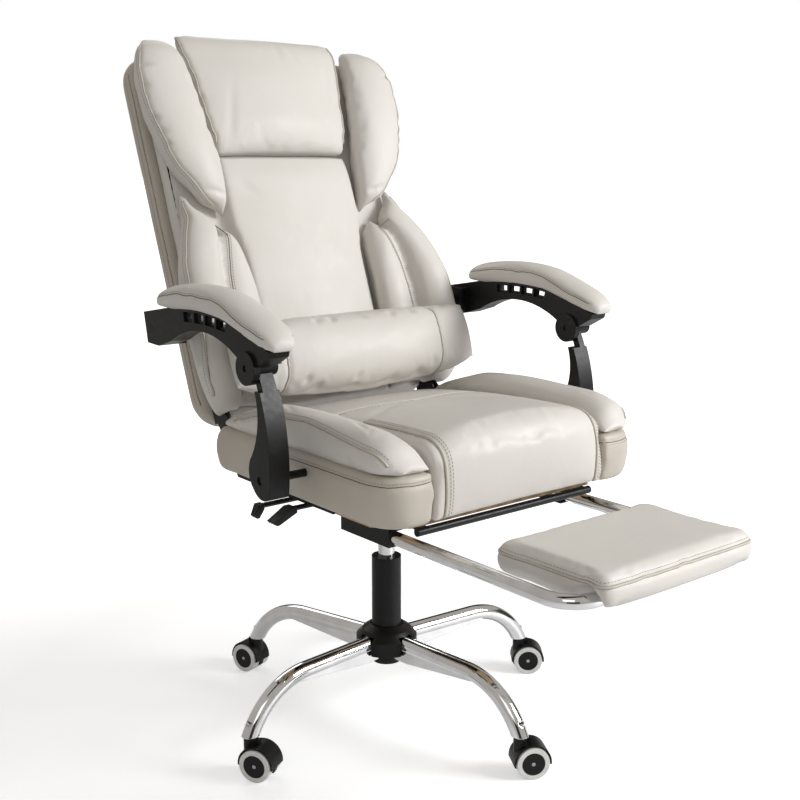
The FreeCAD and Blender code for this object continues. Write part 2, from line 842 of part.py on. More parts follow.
def make_bolts():
    links = []
    for number, (across, along) in enumerate(bolt_places()):
        shank = cylinder(
            "shank_%d" % number,
            "Sizes.bolt_diameter / 2",
            "Sizes.board_thickness + Sizes.sheet_metal - 1",
            across,
            along,
            "Sizes.board_bottom - Sizes.sheet_metal",
        )
        head = doc.addObject("Part::Prism", "head_%d" % number)
        head.Polygon = 6
        bind(head, Circumradius="Sizes.bolt_diameter * 0.85", Height="Sizes.bolt_diameter * 0.6")
        place(head, across, along, "Sizes.board_bottom - Sizes.sheet_metal - Sizes.bolt_diameter * 0.6")
        links.append(fuse("bolt_%d" % number, shank, head))
    bolts = doc.addObject("Part::Compound", "bolt_set")
    bolts.Links = links
    finish(bolts, "mounting_bolts")


def side_plate_parts(side, grow):
    """Steel plate beside the board: it carries the upright's stud and the backrest hinge pin."""
    inner = size("board_half_width") + size("seat_gap") - grow
    outer = inner + size("side_plate_thickness") + 2 * grow
    low = size("board_bottom") - grow
    hinge_y, hinge_z = size("hinge_y"), size("hinge_z")
    stud_y, stud_z = size("upright_pivot_y"), size("upright_pivot_z")
    ear = size("hinge_pin_diameter") / 2 + 10 + grow
    outline = Part.makePolygon(
        [
            Vector(inner, stud_y - ear - 12, low),
            Vector(inner, size("board_rear") - 4, low),
            Vector(inner, hinge_y + ear * 0.8, hinge_z - ear * 0.6),
            Vector(inner, hinge_y - ear * 0.6, hinge_z + ear * 0.8),
            Vector(inner, size("board_rear") - 50, low + 45 + 2 * grow),
            Vector(inner, stud_y + ear + 30, low + 35 + 2 * grow),
            Vector(inner, stud_y + ear * 0.8, stud_z + ear * 0.6),
            Vector(inner, stud_y - ear * 0.8, stud_z + ear * 0.6),
            Vector(inner, stud_y - ear - 12, low),
        ]
    )
    plate = Part.Face(outline).extrude(Vector(outer - inner, 0, 0))
    for y, z in ((hinge_y, hinge_z), (stud_y, stud_z)):
        plate = plate.fuse(rod_shape(inner, outer, y, z, ear))
    return plate if side > 0 else plate.mirror(Vector(), Vector(1, 0, 0))


def pin_radius():
    return size("hinge_pin_diameter") / 2


def make_side_plates():
    shapes = []
    for side in (1, -1):
        plate = side_plate_parts(side, 0)
        inner = side * (size("board_half_width") + size("seat_gap"))
        stud_end = side * (upright_span(1)[1] - 2)
        stud = rod_shape(inner, stud_end, size("upright_pivot_y"), size("upright_pivot_z"), pin_radius())
        hinge_end = inner - side * (size("frame_bar") + 1)
        pin = rod_shape(inner + side * 2, hinge_end, size("hinge_y"), size("hinge_z"), pin_radius())
        shapes.append(plate.fuse([stud, pin]).removeSplitter())
    solid("side_plates", Part.makeCompound(shapes))


# Seat upholstery


def box_bottom():
    return size("board_bottom") + size("board_thickness") + size("seat_gap")


def box_top():
    return box_bottom() + size("box_height")


def make_seat_box():
    """Upholstered box on the board; its rear wall leans forward, clear of the reclining back."""
    bottom, top = box_bottom(), box_top()
    insets = (9, 2, 0, 0, 5)
    half = size("seat_half_width")
    body = slab(bottom, top, insets, flat_plan, half, -size("seat_front"), size("box_rear"), 52, 20)
    slant = Part.makePolygon(
        [
            Vector(-half - 10, size("box_rear"), bottom + size("box_slant_height")),
            Vector(-half - 10, size("seat_rear"), top),
            Vector(-half - 10, size("seat_rear"), top + 10),
            Vector(-half - 10, size("box_rear") + 10, top + 10),
            Vector(-half - 10, size("box_rear") + 10, bottom + size("box_slant_height")),
            Vector(-half - 10, size("box_rear"), bottom + size("box_slant_height")),
        ]
    )
    body = body.cut(Part.Face(slant).extrude(Vector(2 * half + 20, 0, 0)))
    wide = size("cushion_half_width") + size("seat_gap")
    notch_rear = -(size("seat_front") - 28)
    body = body.cut(box_shape(-wide, wide, -400, notch_rear, bottom - 10, top + 10))
    for side in (1, -1):
        body = body.cut(side_plate_parts(side, size("seat_gap")))
        reach = side * (size("seat_half_width") + 20)
        body = body.cut(
            rod_shape(side * 200, reach, size("upright_pivot_y"), size("upright_pivot_z"), pin_radius() + 0.5)
        )
    solid("seat_box", body)


def make_seat_cushion():
    """Centre cushion: crowned top that rolls over the front edge down to the board."""
    under = box_top() + size("seat_gap")
    drop_rear = -(size("seat_front") - 28) - size("seat_gap")
    wide = size("cushion_half_width")
    front = -size("seat_front")
    wires = []
    for share in (-1, -0.72, -0.36, 0, 0.36, 0.72, 1):
        fullness = 1 - abs(share) ** 3
        crest = size("cushion_crest") - 10 + fullness * (size("cushion_crown") + 10)
        rear_top = size("cushion_rear_top") + fullness * 4
        nose = front + 6 - fullness * 12
        x = share * wide
        points = [
            Vector(x, size("seat_rear") - 14, under),
            Vector(x, drop_rear, under),
            Vector(x, drop_rear, box_bottom() + 2),
            Vector(x, front + 8, box_bottom()),
            Vector(x, nose + 2, crest - 38),
            Vector(x, front + 38, crest),
            Vector(x, size("seat_rear") - 14, rear_top),
        ]
        bulges = [
            Vector(),
            Vector(),
            Vector(),
            Vector(0, -4, 0),
            Vector(0, -9, 9),
            Vector(0, 0, 8),
            Vector(),
        ]
        wires.append(closed_wire(points, bulges))
    solid("seat_cushion", loft(wires))


def make_seat_bolster(name, side):
    """Stuffed side roll on the seat, lower at the back and drawn in at the front."""
    under = box_top() + size("seat_gap")
    inner = size("cushion_half_width") + 0.8
    outer = size("seat_half_width")
    seam = size("bolster_seam_height") - under
    crown = size("bolster_crest") - size("bolster_seam_height")
    front = -size("seat_front")
    stations = (
        (front + 3, 0.22, 34),
        (front + 22, 0.66, 13),
        (front + 48, 0.9, 3),
        (-240, 1.0, 0),
        (-120, 1.0, 0),
        (-20, 0.9, 0),
        (size("seat_rear") - 60, 0.55, 0),
        (size("seat_rear") - 14, 0.38, 3),
    )
    wires = []
    for y, fullness, draw_in in even_stations(stations, STRIP_STEP):
        top = under + seam * fullness
        points = [
            Vector(side * inner, y, under),
            Vector(side * (outer - draw_in), y, under),
            Vector(side * (outer - draw_in + 3), y, top),
            Vector(side * inner, y, top - 4 * fullness),
        ]
        bulges = [
            Vector(),
            Vector(side * 2 * fullness, 0, 0),
            Vector(0, 0, crown * fullness),
            Vector(),
        ]
        wires.append(closed_wire(points, bulges))
    solid(name, loft(wires))


# Backrest, drawn upright at its hinge and then leaned back


def back_placement():
    lean = Rotation(Vector(1, 0, 0), -size("back_lean"))
    return Placement(Vector(0, size("hinge_y"), size("hinge_z")), lean)


def back_solid(name, shape):
    return solid(name, shape, back_placement())


def core_front():
    return 5.0


def core_back():
    return core_front() + size("core_thickness")


def arm_pivot_on_back():
    """Rear arm pivot in the backrest's own upright frame, as (depth, height)."""
    lean = math.radians(size("back_lean"))
    y, z = size("arm_link_y"), size("arm_link_z")
    return y * math.cos(lean) - z * math.sin(lean), y * math.sin(lean) + z * math.cos(lean)


def frame_side_parts(side, grow):
    """Flat steel bar up one side of the backrest, with its hinge eye and the lug for the arm."""
    outer = size("board_half_width") - 0.7 + grow
    inner = outer - size("frame_bar") - 2 * grow
    depth, height = arm_pivot_on_back()
    eye = pin_radius() + 8 + grow
    lug = pin_radius() + 5 + grow
    top = size("back_height") - 60
    bar = box_shape(inner, outer, core_front() + 3 - grow, core_back() - 3 + grow, 12, top + grow)
    foot = box_shape(inner, outer, -eye + 3, core_back() - 3 + grow, -2, 44 + grow)
    shape = bar.fuse(
        [
            foot,
            rod_shape(inner, outer, 0, 0, eye),
            box_shape(inner, outer, depth, core_front() + 20, height - lug, height + lug),
            rod_shape(inner, outer, depth, height, lug),
        ]
    )
    return shape if side > 0 else shape.mirror(Vector(), Vector(1, 0, 0))


def frame_cross_parts(grow):
    half = size("board_half_width") - size("frame_bar")
    depth = core_front() + 8
    bars = []
    for height in (70, size("back_height") - 90):
        bars.append(
            box_shape(
                -half,
                half,
                depth - grow,
                depth + size("frame_bar") + grow,
                height - 15 - grow,
                height + 15 + grow,
            )
        )
    return bars


def make_back_frame():
    parts = []
    depth, height = arm_pivot_on_back()
    for side in (1, -1):
        bar = frame_side_parts(side, 0)
        outer = size("board_half_width") - 0.7
        hole = rod_shape(side * (outer - 20), side * (outer + 20), 0, 0, pin_radius() + size("running_fit"))
        pin = rod_shape(side * (outer - 2), side * (size("arm_outer") - 4), depth, height, pin_radius())
        parts.append(bar.cut(hole).fuse(pin))
    frame = parts[0].fuse(parts[1:] + frame_cross_parts(0)).removeSplitter()
    back_solid("back_frame", frame)


def hinge_room(side):
    """Space that the seat's hinge ear sweeps inside the backrest as it reclines."""
    inner = size("board_half_width") + size("seat_gap") - 0.9
    outer = inner + size("side_plate_thickness") + 1.8
    room = pin_radius() + 10 + 3
    shape = rod_shape(inner, outer, 0, 0, room).fuse(box_shape(inner, outer, -90, room + 6, -60, room))
    return shape if side > 0 else shape.mirror(Vector(), Vector(1, 0, 0))


def arm_pin_room(side):
    depth, height = arm_pivot_on_back()
    return rod_shape(side * 200, side * (size("arm_inner") + 20), depth, height, pin_radius() + 0.5)


def clear_of_frame(shape):
    """Hollow out the room for the steel frame, the hinge ears and the arm pins."""
    for side in (1, -1):
        shape = shape.cut(frame_side_parts(side, size("seat_gap")))
        shape = shape.cut(hinge_room(side))
        shape = shape.cut(arm_pin_room(side))
    return shape.cut(frame_cross_parts(size("seat_gap")))


def make_back_shell():
    front = core_back() + size("seat_gap")
    back = front + size("shell_thickness")
    shape = slab(
        front,
        back,
        (5, 0, 0, 4, 15),
        upright_plan,
        size("back_half_width"),
        -size("back_bottom_drop"),
        size("back_height"),
        52,
        50,
        arch=20,
    )
    back_solid("back_shell", shape)


def make_back_panel():
    """Core slab with the crowned centre panel on its front."""
    core = slab(
        core_front(),
        core_back(),
        (3, 0, 0, 3),
        upright_plan,
        size("core_half_width"),
        -3,
        size("back_height") - 8,
        48,
        46,
        arch=18,
    )
    front = -size("panel_front")
    crown = size("panel_crown")
    stations = (
        (4, 120, front + 8, crown * 0.4),
        (60, 121, front, crown),
        (190, 121.5, front, crown),
        (250, 123, front, crown),
        (295, 128, front, crown),
        (330, 137, front, crown),
        (400, 137, front, crown),
        (size("head_bottom") - 1, 133, front + 4, crown * 0.6),
    )
    wires = []
    for height, half, face, bulge in even_stations(stations, STRIP_STEP):
        points = [
            Vector(-half, core_front() + 3, height),
            Vector(half, core_front() + 3, height),
            Vector(half, face, height),
            Vector(-half, face, height),
        ]
        wires.append(closed_wire(points, [Vector(), Vector(), Vector(0, -bulge, 0), Vector()]))
    shape = core.fuse(loft(wires)).removeSplitter()
    back_solid("back_panel", clear_of_frame(shape))


def make_head_cushion():
    low, high = size("head_bottom"), size("head_top")
    back = core_front() - size("seat_gap")
    stations = (
        (low, 134, -14, 5),
        (low + 16, 139, -21, 15),
        (low + 60, 149, -24, 24),
        (low + 130, 158, -22, 24),
        (low + 190, 166, -17, 19),
        (high - 24, 168, -9, 13),
        (high - 8, 166, -2, 7),
        (high, 160, 2, 2),
    )
    wires = []
    for height, half, face, bulge in even_stations(stations, STRIP_STEP):
        points = [
            Vector(-half, back, height),
            Vector(half, back, height),
            Vector(half, face, height),
            Vector(-half, face, height),
        ]
        wires.append(closed_wire(points, [Vector(), Vector(), Vector(0, -bulge, 0), Vector()]))
    back_solid("head_cushion", loft(wires))


def make_wing(name, side):
    """Crescent wing beside the head, from its tip above the bolsters up to the top corner."""
    back = core_front() - size("seat_gap")
    stations = (
        (336, 143, 150, -10, 3),
        (352, 141.5, 176, -28, 8),
        (374, 141, 202, -37, 12),
        (402, 141, 224, -42, 14),
        (428, 142.5, 241, -45, 15),
        (478, 149, 258, -47, 15),
        (530, 156, 268, -47, 15),
        (575, 163, 269, -45, 14),
        (612, 169, 261, -40, 12),
        (640, 176, 248, -28, 9),
        (658, 184, 234, -10, 5),
    )
    back_solid(name, padded_strip(stations, back, side, size("wing_undercut")))


def make_back_bolsters(name, side):
    """Pair of side bolsters: a narrow inner roll and a wide outer one that share a seam."""
    back = core_front() - size("seat_gap")
    inner_roll = (
        (6, 125, 197, -12, 8),
        (30, 124, 199, -24, 17),
        (100, 124, 199.5, -30, 24),
        (185, 124.5, 199.5, -30, 24),
        (240, 126, 196, -28, 22),
        (290, 131, 184, -23, 18),
        (318, 142, 170, -16, 9),
        (332, 149, 159, -6, 3),
    )
    outer_roll = (
        (0, 202, 250, -14, 8),
        (24, 201, 265, -38, 16),
        (90, 201, 276, -56, 24),
        (185, 201, 276, -58, 25),
        (240, 198, 271, -52, 23),
        (290, 187, 258, -44, 18),
        (325, 179, 246, -34, 13),
        (350, 195, 238, -24, 9),
        (372, 216, 234, -14, 5),
        (388, 226, 230, -6, 2),
    )
    rolls = []
    for roll, undercut in ((inner_roll, 0), (outer_roll, size("bolster_undercut"))):
        rolls.append(clear_of_frame(padded_strip(roll, back, side, undercut)))
    back_solid(name, Part.makeCompound(rolls))


PILLOW_WRAP = 20.0


def make_lumbar_pillow():
    """Loose pillow against the lower back, lens-shaped in section and drawn in at its ends."""
    sections = 18
    wires = []
    for index in range(sections + 1):
        share = math.sin(math.pi * (index / sections - 0.5))
        fullness = max(0.0, 1 - abs(share) ** 2.6) ** 0.8
        x = share * size("pillow_half_length")
        deep = 5 + (size("pillow_depth") / 2 - 5) * fullness
        reach = size("pillow_height") / 2 * (0.72 + 0.28 * fullness)
        middle = -size("pillow_stand_off") - size("pillow_depth") / 2 - PILLOW_WRAP * share**2
        centre = size("pillow_centre") + 8 * share**2
        low, high = Vector(x, middle, centre - reach), Vector(x, middle, centre + reach)
        front = Part.Arc(low, Vector(x, middle - deep, centre), high).toShape()
        behind = Part.Arc(high, Vector(x, middle + deep, centre), low).toShape()
        wires.append(Part.Wire([front, behind]))
    back_solid("lumbar_pillow", loft(wires))


# Arms


def upright_span(side):
    """Inner and outer face of the upright, measured outwards from the middle of the chair."""
    outer = size("arm_centre") + 11
    return side * (outer - size("upright_width")), side * outer


def front_pivot():
    return size("upright_pivot_y") + size("arm_link_y"), size("upright_pivot_z") + size("arm_link_z")


def rear_pivot():
    return size("hinge_y") + size("arm_link_y"), size("hinge_z") + size("arm_link_z")


REAR_CLIMB = 11.0
LONG_FALL = 6.0
LONG_RUN = 186.0
FRONT_FALL = 19.0
FRONT_RADIUS = 140.0
FRONT_RUN = 124.0


def front_bend():
    """Length of the tighter arc near the front of the arm."""
    return math.radians(FRONT_FALL - LONG_FALL) * FRONT_RADIUS


def bow_length():
    return LONG_RUN + front_bend() + FRONT_RUN


def along_arc(point, heading, turn, radius):
    """Travel forwards on an arc that turns downwards."""
    y = point.y - radius * (math.sin(heading) - math.sin(heading - turn))
    z = point.z + radius * (math.cos(heading - turn) - math.cos(heading))
    return Vector(0, y, z), heading - turn


def arm_path(distance):
    """Point and heading on the bow of the arm: long arc, tighter arc, straight nose."""
    rear_y, rear_z = rear_pivot()
    long_radius = LONG_RUN / math.radians(REAR_CLIMB + LONG_FALL)
    run = min(distance, LONG_RUN)
    start = Vector(0, rear_y - 32, rear_z + 44)
    point, heading = along_arc(start, math.radians(REAR_CLIMB), run / long_radius, long_radius)
    rest = max(distance - LONG_RUN, 0.0)
    bent = min(rest, front_bend())
    point, heading = along_arc(point, heading, bent / FRONT_RADIUS, FRONT_RADIUS)
    straight = rest - bent
    return point + Vector(0, -math.cos(heading), math.sin(heading)) * straight, heading


def arm_offset(distance, lift):
    point, heading = arm_path(distance)
    return point + Vector(0, math.sin(heading), math.cos(heading)) * lift


def make_arm_pad(name, side):
    """Leather pad on the arm: flat underside, upright sides and a crowned top along the bow."""
    length = bow_length() - size("pad_setback")
    low = -size("pad_thickness") / 2
    high = size("pad_thickness") / 2
    stations = (
        (0, 0.6, 0.5),
        (16, 0.9, 0.92),
        (45, 1.0, 1.0),
        (length - 90, 1.0, 1.0),
        (length - 45, 0.93, 1.0),
        (length - 20, 0.8, 0.9),
        (length, 0.5, 0.5),
    )
    wires = []
    for distance, width, height in even_stations(stations, STRIP_STEP - 6):
        half = size("pad_half_width") * width
        top = low + (high - low) * height
        _, heading = arm_path(distance)
        up = Vector(0, math.sin(heading), math.cos(heading))
        bottom = arm_offset(distance, low)
        crease = arm_offset(distance, top)
        centre = Vector(side * size("arm_centre"), 0, 0)
        points = [
            centre + bottom + Vector(-half, 0, 0),
            centre + bottom + Vector(half, 0, 0),
            centre + crease + Vector(half, 0, 0),
            centre + crease + Vector(-half, 0, 0),
        ]
        bulges = [
            Vector(),
            Vector(1.5 * width, 0, 0),
            up * (size("pad_crown") * width),
            Vector(-1.5 * width, 0, 0),
        ]
        wires.append(closed_wire(points, bulges))
    solid(name, loft(wires))


def make_arm_rail(name, side):
    """Moulded arm under the pad: a bow with slots, the rear block and the front pivot ear.

    Both arms are the same moulding, so the round ear is on the -x face of each.
    """
    top_lift = -size("pad_thickness") / 2 - size("seat_gap")
    deep = top_lift - size("rail_depth")
    front_end = bow_length() - 26
    bend = front_bend()
    x0 = side * size("arm_centre") - size("rail_width") / 2
    shift = Vector(x0, 0, 0)
    pivot_y, pivot_z = front_pivot()
    rear_y, rear_z = rear_pivot()
    ear = size("disc_radius")

    top_points = [arm_offset(d, top_lift) + shift for d in (0, LONG_RUN / 2, LONG_RUN)]
    dip_points = [arm_offset(d, top_lift) + shift for d in (LONG_RUN, LONG_RUN + bend / 2, LONG_RUN + bend)]
    nose = arm_offset(front_end, top_lift) + shift
    nose_low = arm_offset(front_end, top_lift - 9) + shift
    chin = Vector(x0, pivot_y - ear * 0.5, pivot_z - ear * 0.1)
    throat = Vector(x0, pivot_y + ear * 0.6, pivot_z + 4)
    belly = arm_offset(LONG_RUN * 0.66, deep) + shift
    heel = Vector(x0, rear_y - 62, rear_z - 13)
    sole = Vector(x0, rear_y - 22, rear_z - 25)
    back_low = Vector(x0, rear_y + 14, rear_z - 24)
    back_high = Vector(x0, rear_y + 24, rear_z + 24)
    edges = [
        Part.Arc(*top_points).toShape(),
        Part.Arc(*dip_points).toShape(),
        Part.LineSegment(dip_points[2], nose).toShape(),
        Part.LineSegment(nose, nose_low).toShape(),
        Part.LineSegment(nose_low, chin).toShape(),
        Part.LineSegment(chin, throat).toShape(),
        Part.Arc(throat, belly, heel).toShape(),
        Part.LineSegment(heel, sole).toShape(),
        Part.LineSegment(sole, back_low).toShape(),
        Part.LineSegment(back_low, back_high).toShape(),
        Part.LineSegment(back_high, top_points[0]).toShape(),
    ]
    bow = Part.Face(Part.Wire(edges)).extrude(Vector(size("rail_width"), 0, 0))

    inner, outer = side * size("arm_inner"), side * (size("arm_centre") + size("rail_width") / 2)
    block_plan = Part.makePolygon([sole, back_low, back_high, Vector(x0, rear_y - 26, rear_z + 22), sole])
    block_face = Part.Face(block_plan)
    block_face.translate(Vector(min(inner, outer) - x0, 0, 0))
    rear_block = block_face.extrude(Vector(abs(outer - inner), 0, 0))

    ear_x = side * size("arm_centre") - size("arm_outer") + size("arm_centre")
    disc = Part.makeCylinder(ear, size("disc_thickness"), Vector(ear_x, pivot_y, pivot_z), Vector(1, 0, 0))
    hood_start = ear_x + size("disc_thickness")
    hood_end = side * size("arm_centre") + 30
    hood = rod_shape(hood_start - 1, hood_end, pivot_y, pivot_z, size("hood_radius"))
    hood = hood.cut(box_shape(hood_start - 5, hood_end + 5, pivot_y - 40, pivot_y + 40, pivot_z - 40, pivot_z + 4))
    shape = bow.fuse([rear_block, disc, hood])

    knuckle_room = size("knuckle_radius") + 0.5
    shape = shape.cut(rod_shape(hood_start, hood_end + 5, pivot_y, pivot_z, knuckle_room))
    sweep = box_shape(hood_start, hood_end + 5, pivot_y - 60, pivot_y + 75, pivot_z - 90, pivot_z + 4)
    shape = shape.cut(sweep)
    pin_hole = size("arm_pin_diameter") / 2 + size("running_fit")
    shape = shape.cut(rod_shape(ear_x - 5, hood_start + 5, pivot_y, pivot_z, pin_hole))
    shape = shape.cut(rod_shape(inner - side * 5, outer + side * 5, rear_y, rear_z, pin_radius() + 0.5))
    web_face = x0 + size("rail_web_depth") + size("rail_web")
    first, last = LONG_RUN * 0.3, LONG_RUN + bend * 0.3
    upper = [arm_offset(first + (last - first) * k / 2, top_lift - 6) for k in range(3)]
    lower = [arm_offset(last - (last - first) * k / 2, top_lift - 24) for k in range(3)]
    rim = [
        Part.Arc(*upper).toShape(),
        Part.LineSegment(upper[2], lower[0]).toShape(),
        Part.Arc(*lower).toShape(),
        Part.LineSegment(lower[2], upper[0]).toShape(),
    ]
    recess = Part.Face(Part.Wire(rim))
    recess.translate(Vector(web_face, 0, 0))
    cuts = [recess.extrude(Vector(size("rail_width"), 0, 0))]
    for index in range(4):
        distance = first + 20 + 33 * index
        corners = [
            arm_offset(distance + along, top_lift - drop) for along, drop in ((0, 10), (20, 10), (20, 19), (0, 19))
        ]
        window = Part.Face(Part.makePolygon(corners + corners[:1]))
        window.translate(Vector(x0 - 5, 0, 0))
        cuts.append(window.extrude(Vector(size("rail_width"), 0, 0)))
        frame = [
            arm_offset(distance + along, top_lift - drop) for along, drop in ((-4, 7), (24, 7), (24, 22), (-4, 22))
        ]
        dish = Part.Face(Part.makePolygon(frame + frame[:1]))
        dish.translate(Vector(x0 - 5, 0, 0))
        cuts.append(dish.extrude(Vector(size("rail_web_depth") + 5, 0, 0)))
    shape = shape.cut(cuts)
    solid(name, shape.removeSplitter())


def make_arm_upright(name, side):
    """Blade that carries the front of the arm, with a knuckle on top and a broad foot."""
    inner, outer = upright_span(1)
    pivot_y, pivot_z = size("upright_pivot_y"), size("upright_pivot_z")
    top_y, top_z = front_pivot()
    neck = 8.0
    head_front = Vector(0, top_y - neck, top_z - 4)
    foot_front = Vector(0, pivot_y - 24, pivot_z - 22)
    heel = Vector(0, pivot_y + 16, pivot_z - 16)
    calf = Vector(0, pivot_y + 24, pivot_z + 27)
    head_rear = Vector(0, top_y + neck, top_z - 4)
    edges = [
        Part.Arc(head_front, Vector(0, pivot_y - 19, pivot_z + 82), foot_front).toShape(),
        Part.Arc(foot_front, Vector(0, pivot_y - 5, pivot_z - 27), heel).toShape(),
        Part.Arc(heel, Vector(0, pivot_y + 28, pivot_z + 6), calf).toShape(),
        Part.Arc(calf, Vector(0, pivot_y + 2, pivot_z + 89), head_rear).toShape(),
        Part.LineSegment(head_rear, head_front).toShape(),
    ]
    left_x = min(side * inner, side * outer)
    blade = Part.Face(Part.Wire(edges)).extrude(Vector(outer - inner, 0, 0))
    blade.translate(Vector(left_x, 0, 0))
    ear_x = side * size("arm_centre") - size("arm_outer") + size("arm_centre")
    knuckle_start = ear_x + size("disc_thickness") + 0.5
    knuckle_end = side * size("arm_centre") + 26
    tongue_start = max(left_x, knuckle_start) + 4
    tongue_end = left_x + (outer - inner) - 4
    for trim in ((left_x - 5, tongue_start), (tongue_end, tongue_end + 40)):
        blade = blade.cut(box_shape(trim[0], trim[1], top_y - 60, top_y + 60, top_z - 32, top_z + 10))
    knuckle = rod_shape(knuckle_start, knuckle_end, top_y, top_z, size("knuckle_radius"))
    pin = rod_shape(ear_x + 2, knuckle_start + 2, top_y, top_z, size("arm_pin_diameter") / 2)
    shape = blade.fuse([knuckle, pin])
    bore = rod_shape(left_x - 5, left_x + 60, pivot_y, pivot_z, pin_radius() + size("running_fit"))
    solid(name, shape.cut(bore).removeSplitter())


# Footrest


def make_footrest_frame():
    """Bent tube: two side tubes, two quarter bends and the cross tube that the pad turns on."""
    radius = "Sizes.tube_diameter / 2"
    bend_y = "-(Sizes.cross_tube_y - Sizes.tube_bend)"
    length = "Sizes.cross_tube_y - Sizes.tube_bend - Sizes.tube_rear"
    parts = []
    for name, sign, turn in (("right", "", -90), ("left", "-", 180)):
        parts.append(
            cylinder(
                "side_tube_" + name, radius, length, sign + "Sizes.rail_spacing", bend_y, "Sizes.tube_height", "y"
            )
        )
        bend = doc.addObject("Part::Torus", "tube_bend_" + name)
        bend.Angle3 = 90
        bend.Placement = Placement(Vector(), Rotation(Vector(0, 0, 1), turn))
        bind(bend, Radius1="Sizes.tube_bend", Radius2=radius)
        place(bend, sign + "(Sizes.rail_spacing - Sizes.tube_bend)", bend_y, "Sizes.tube_height")
        parts.append(bend)
    parts.append(
        cylinder(
            "cross_tube",
            radius,
            "2 * (Sizes.rail_spacing - Sizes.tube_bend)",
            "-(Sizes.rail_spacing - Sizes.tube_bend)",
            "-Sizes.cross_tube_y",
            "Sizes.tube_height",
            "x",
        )
    )
    finish(fuse("footrest_tubes", *parts), "footrest_frame")


def make_footrest_carrier():
    """Two guides under the seat board and the bar between them.

    Each guide is open on its inner side, so that the bends of the tube can pass through it.
    """
    parts = []
    bores = []
    front = "-Sizes.guide_front"
    for name, sign in (("right", "1"), ("left", "-1")):
        centre = "%s * Sizes.rail_spacing" % sign
        parts.append(
            block(
                "guide_" + name,
                "Sizes.tube_diameter + 2 * Sizes.guide_wall",
                "Sizes.guide_length",
                "Sizes.board_bottom - Sizes.tube_height + Sizes.tube_diameter / 2 + Sizes.guide_wall",
                centre + " - Sizes.tube_diameter / 2 - Sizes.guide_wall",
                front,
                "Sizes.tube_height - Sizes.tube_diameter / 2 - Sizes.guide_wall",
            )
        )
        bores.append(
            cylinder(
                "guide_bore_" + name,
                "Sizes.tube_diameter / 2 + Sizes.running_fit",
                "Sizes.guide_length + 100",
                centre,
                front + " - 50",
                "Sizes.tube_height",
                "y",
            )
        )
        mouth = "-Sizes.tube_diameter" if sign == "1" else "0"
        bores.append(
            block(
                "guide_mouth_" + name,
                "Sizes.tube_diameter",
                "Sizes.guide_length + 100",
                "Sizes.tube_diameter + 2 * Sizes.running_fit",
                centre + " + " + mouth,
                front + " - 50",
                "Sizes.tube_height - Sizes.tube_diameter / 2 - Sizes.running_fit",
            )
        )
    guides = cut("guides_bored", fuse("guide_blocks", *parts), fuse("guide_bores", *bores))
    bar = [
        cylinder(
            "crossbar",
            "Sizes.crossbar_diameter / 2",
            "2 * Sizes.rail_spacing",
            "-Sizes.rail_spacing",
            "-Sizes.crossbar_y",
            "Sizes.crossbar_z",
            "x",
        )
    ]
    for name, sign in (("right", "1"), ("left", "-1")):
        bar.append(
            block(
                "crossbar_lug_" + name,
                "Sizes.lug_width",
                "Sizes.crossbar_y - Sizes.board_front + Sizes.lug_width",
                "Sizes.board_bottom - Sizes.crossbar_z",
                "%s * (Sizes.rail_spacing - Sizes.lug_width) - Sizes.lug_width / 2" % sign,
                "-Sizes.crossbar_y",
                "Sizes.crossbar_z",
            )
        )
    carrier = doc.addObject("Part::Compound", "carrier_set")
    carrier.Links = [guides, fuse("crossbar_parts", *bar)]
    finish(carrier, "footrest_carrier")


def make_footrest_pad():
    """Padded foot board with a channel underneath for the cross tube."""
    bottom = size("footpad_bottom")
    top = bottom + size("footpad_thickness")
    shape = slab(
        bottom,
        top,
        (6, 1, 0, 2, 9),
        flat_plan,
        size("footpad_half_width"),
        -size("footpad_front"),
        -size("footpad_rear"),
        22,
        22,
    )
    y, z = -size("cross_tube_y"), size("tube_height")
    radius = size("tube_diameter") / 2
    wide = size("footpad_half_width") + 10
    bend_start = size("rail_spacing") - size("tube_bend") - 5
    channel = rod_shape(-wide, wide, y, z, radius + 1)
    swept = size("footpad_half_width") - (size("rail_spacing") - size("tube_bend"))
    sagitta = size("tube_bend") - math.sqrt(size("tube_bend") ** 2 - swept**2)
    shape = shape.cut(channel)
    for side in (1, -1):
        shape = shape.cut(rod_shape(side * bend_start, side * wide, y, z, radius + sagitta + 2.5))
        shape = shape.cut(hinge_strap(side, 0.2))
    solid("footrest_pad", shape)


def hinge_strap(side, grow):
    """Clip round the cross tube with a slotted tail under the pad."""
    y, z = -size("cross_tube_y"), size("tube_height")
    radius = size("tube_diameter") / 2
    x0 = side * 70 - 14 - grow
    x1 = side * 70 + 14 + grow
    ring = rod_shape(x0, x1, y, z, radius + 3 + grow)
    tail = box_shape(x0, x1, y, y + 70 + grow, size("footpad_bottom") - 3 - grow, size("footpad_bottom") + grow)
    return ring.fuse(tail)


def make_footrest_hinges():
    y, z = -size("cross_tube_y"), size("tube_height")
    radius = size("tube_diameter") / 2
    clips = []
    for side in (1, -1):
        clip = hinge_strap(side, 0)
        clip = clip.cut(rod_shape(side * 40, side * 100, y, z, radius + size("running_fit")))
        for share in (30, 52):
            slot = box_shape(side * 70 - 4, side * 70 + 4, y + share - 7, y + share + 7, z - 30, z + 10)
            clip = clip.cut(slot)
        clips.append(clip.removeSplitter())
    solid("footrest_hinges", Part.makeCompound(clips))


# Levers


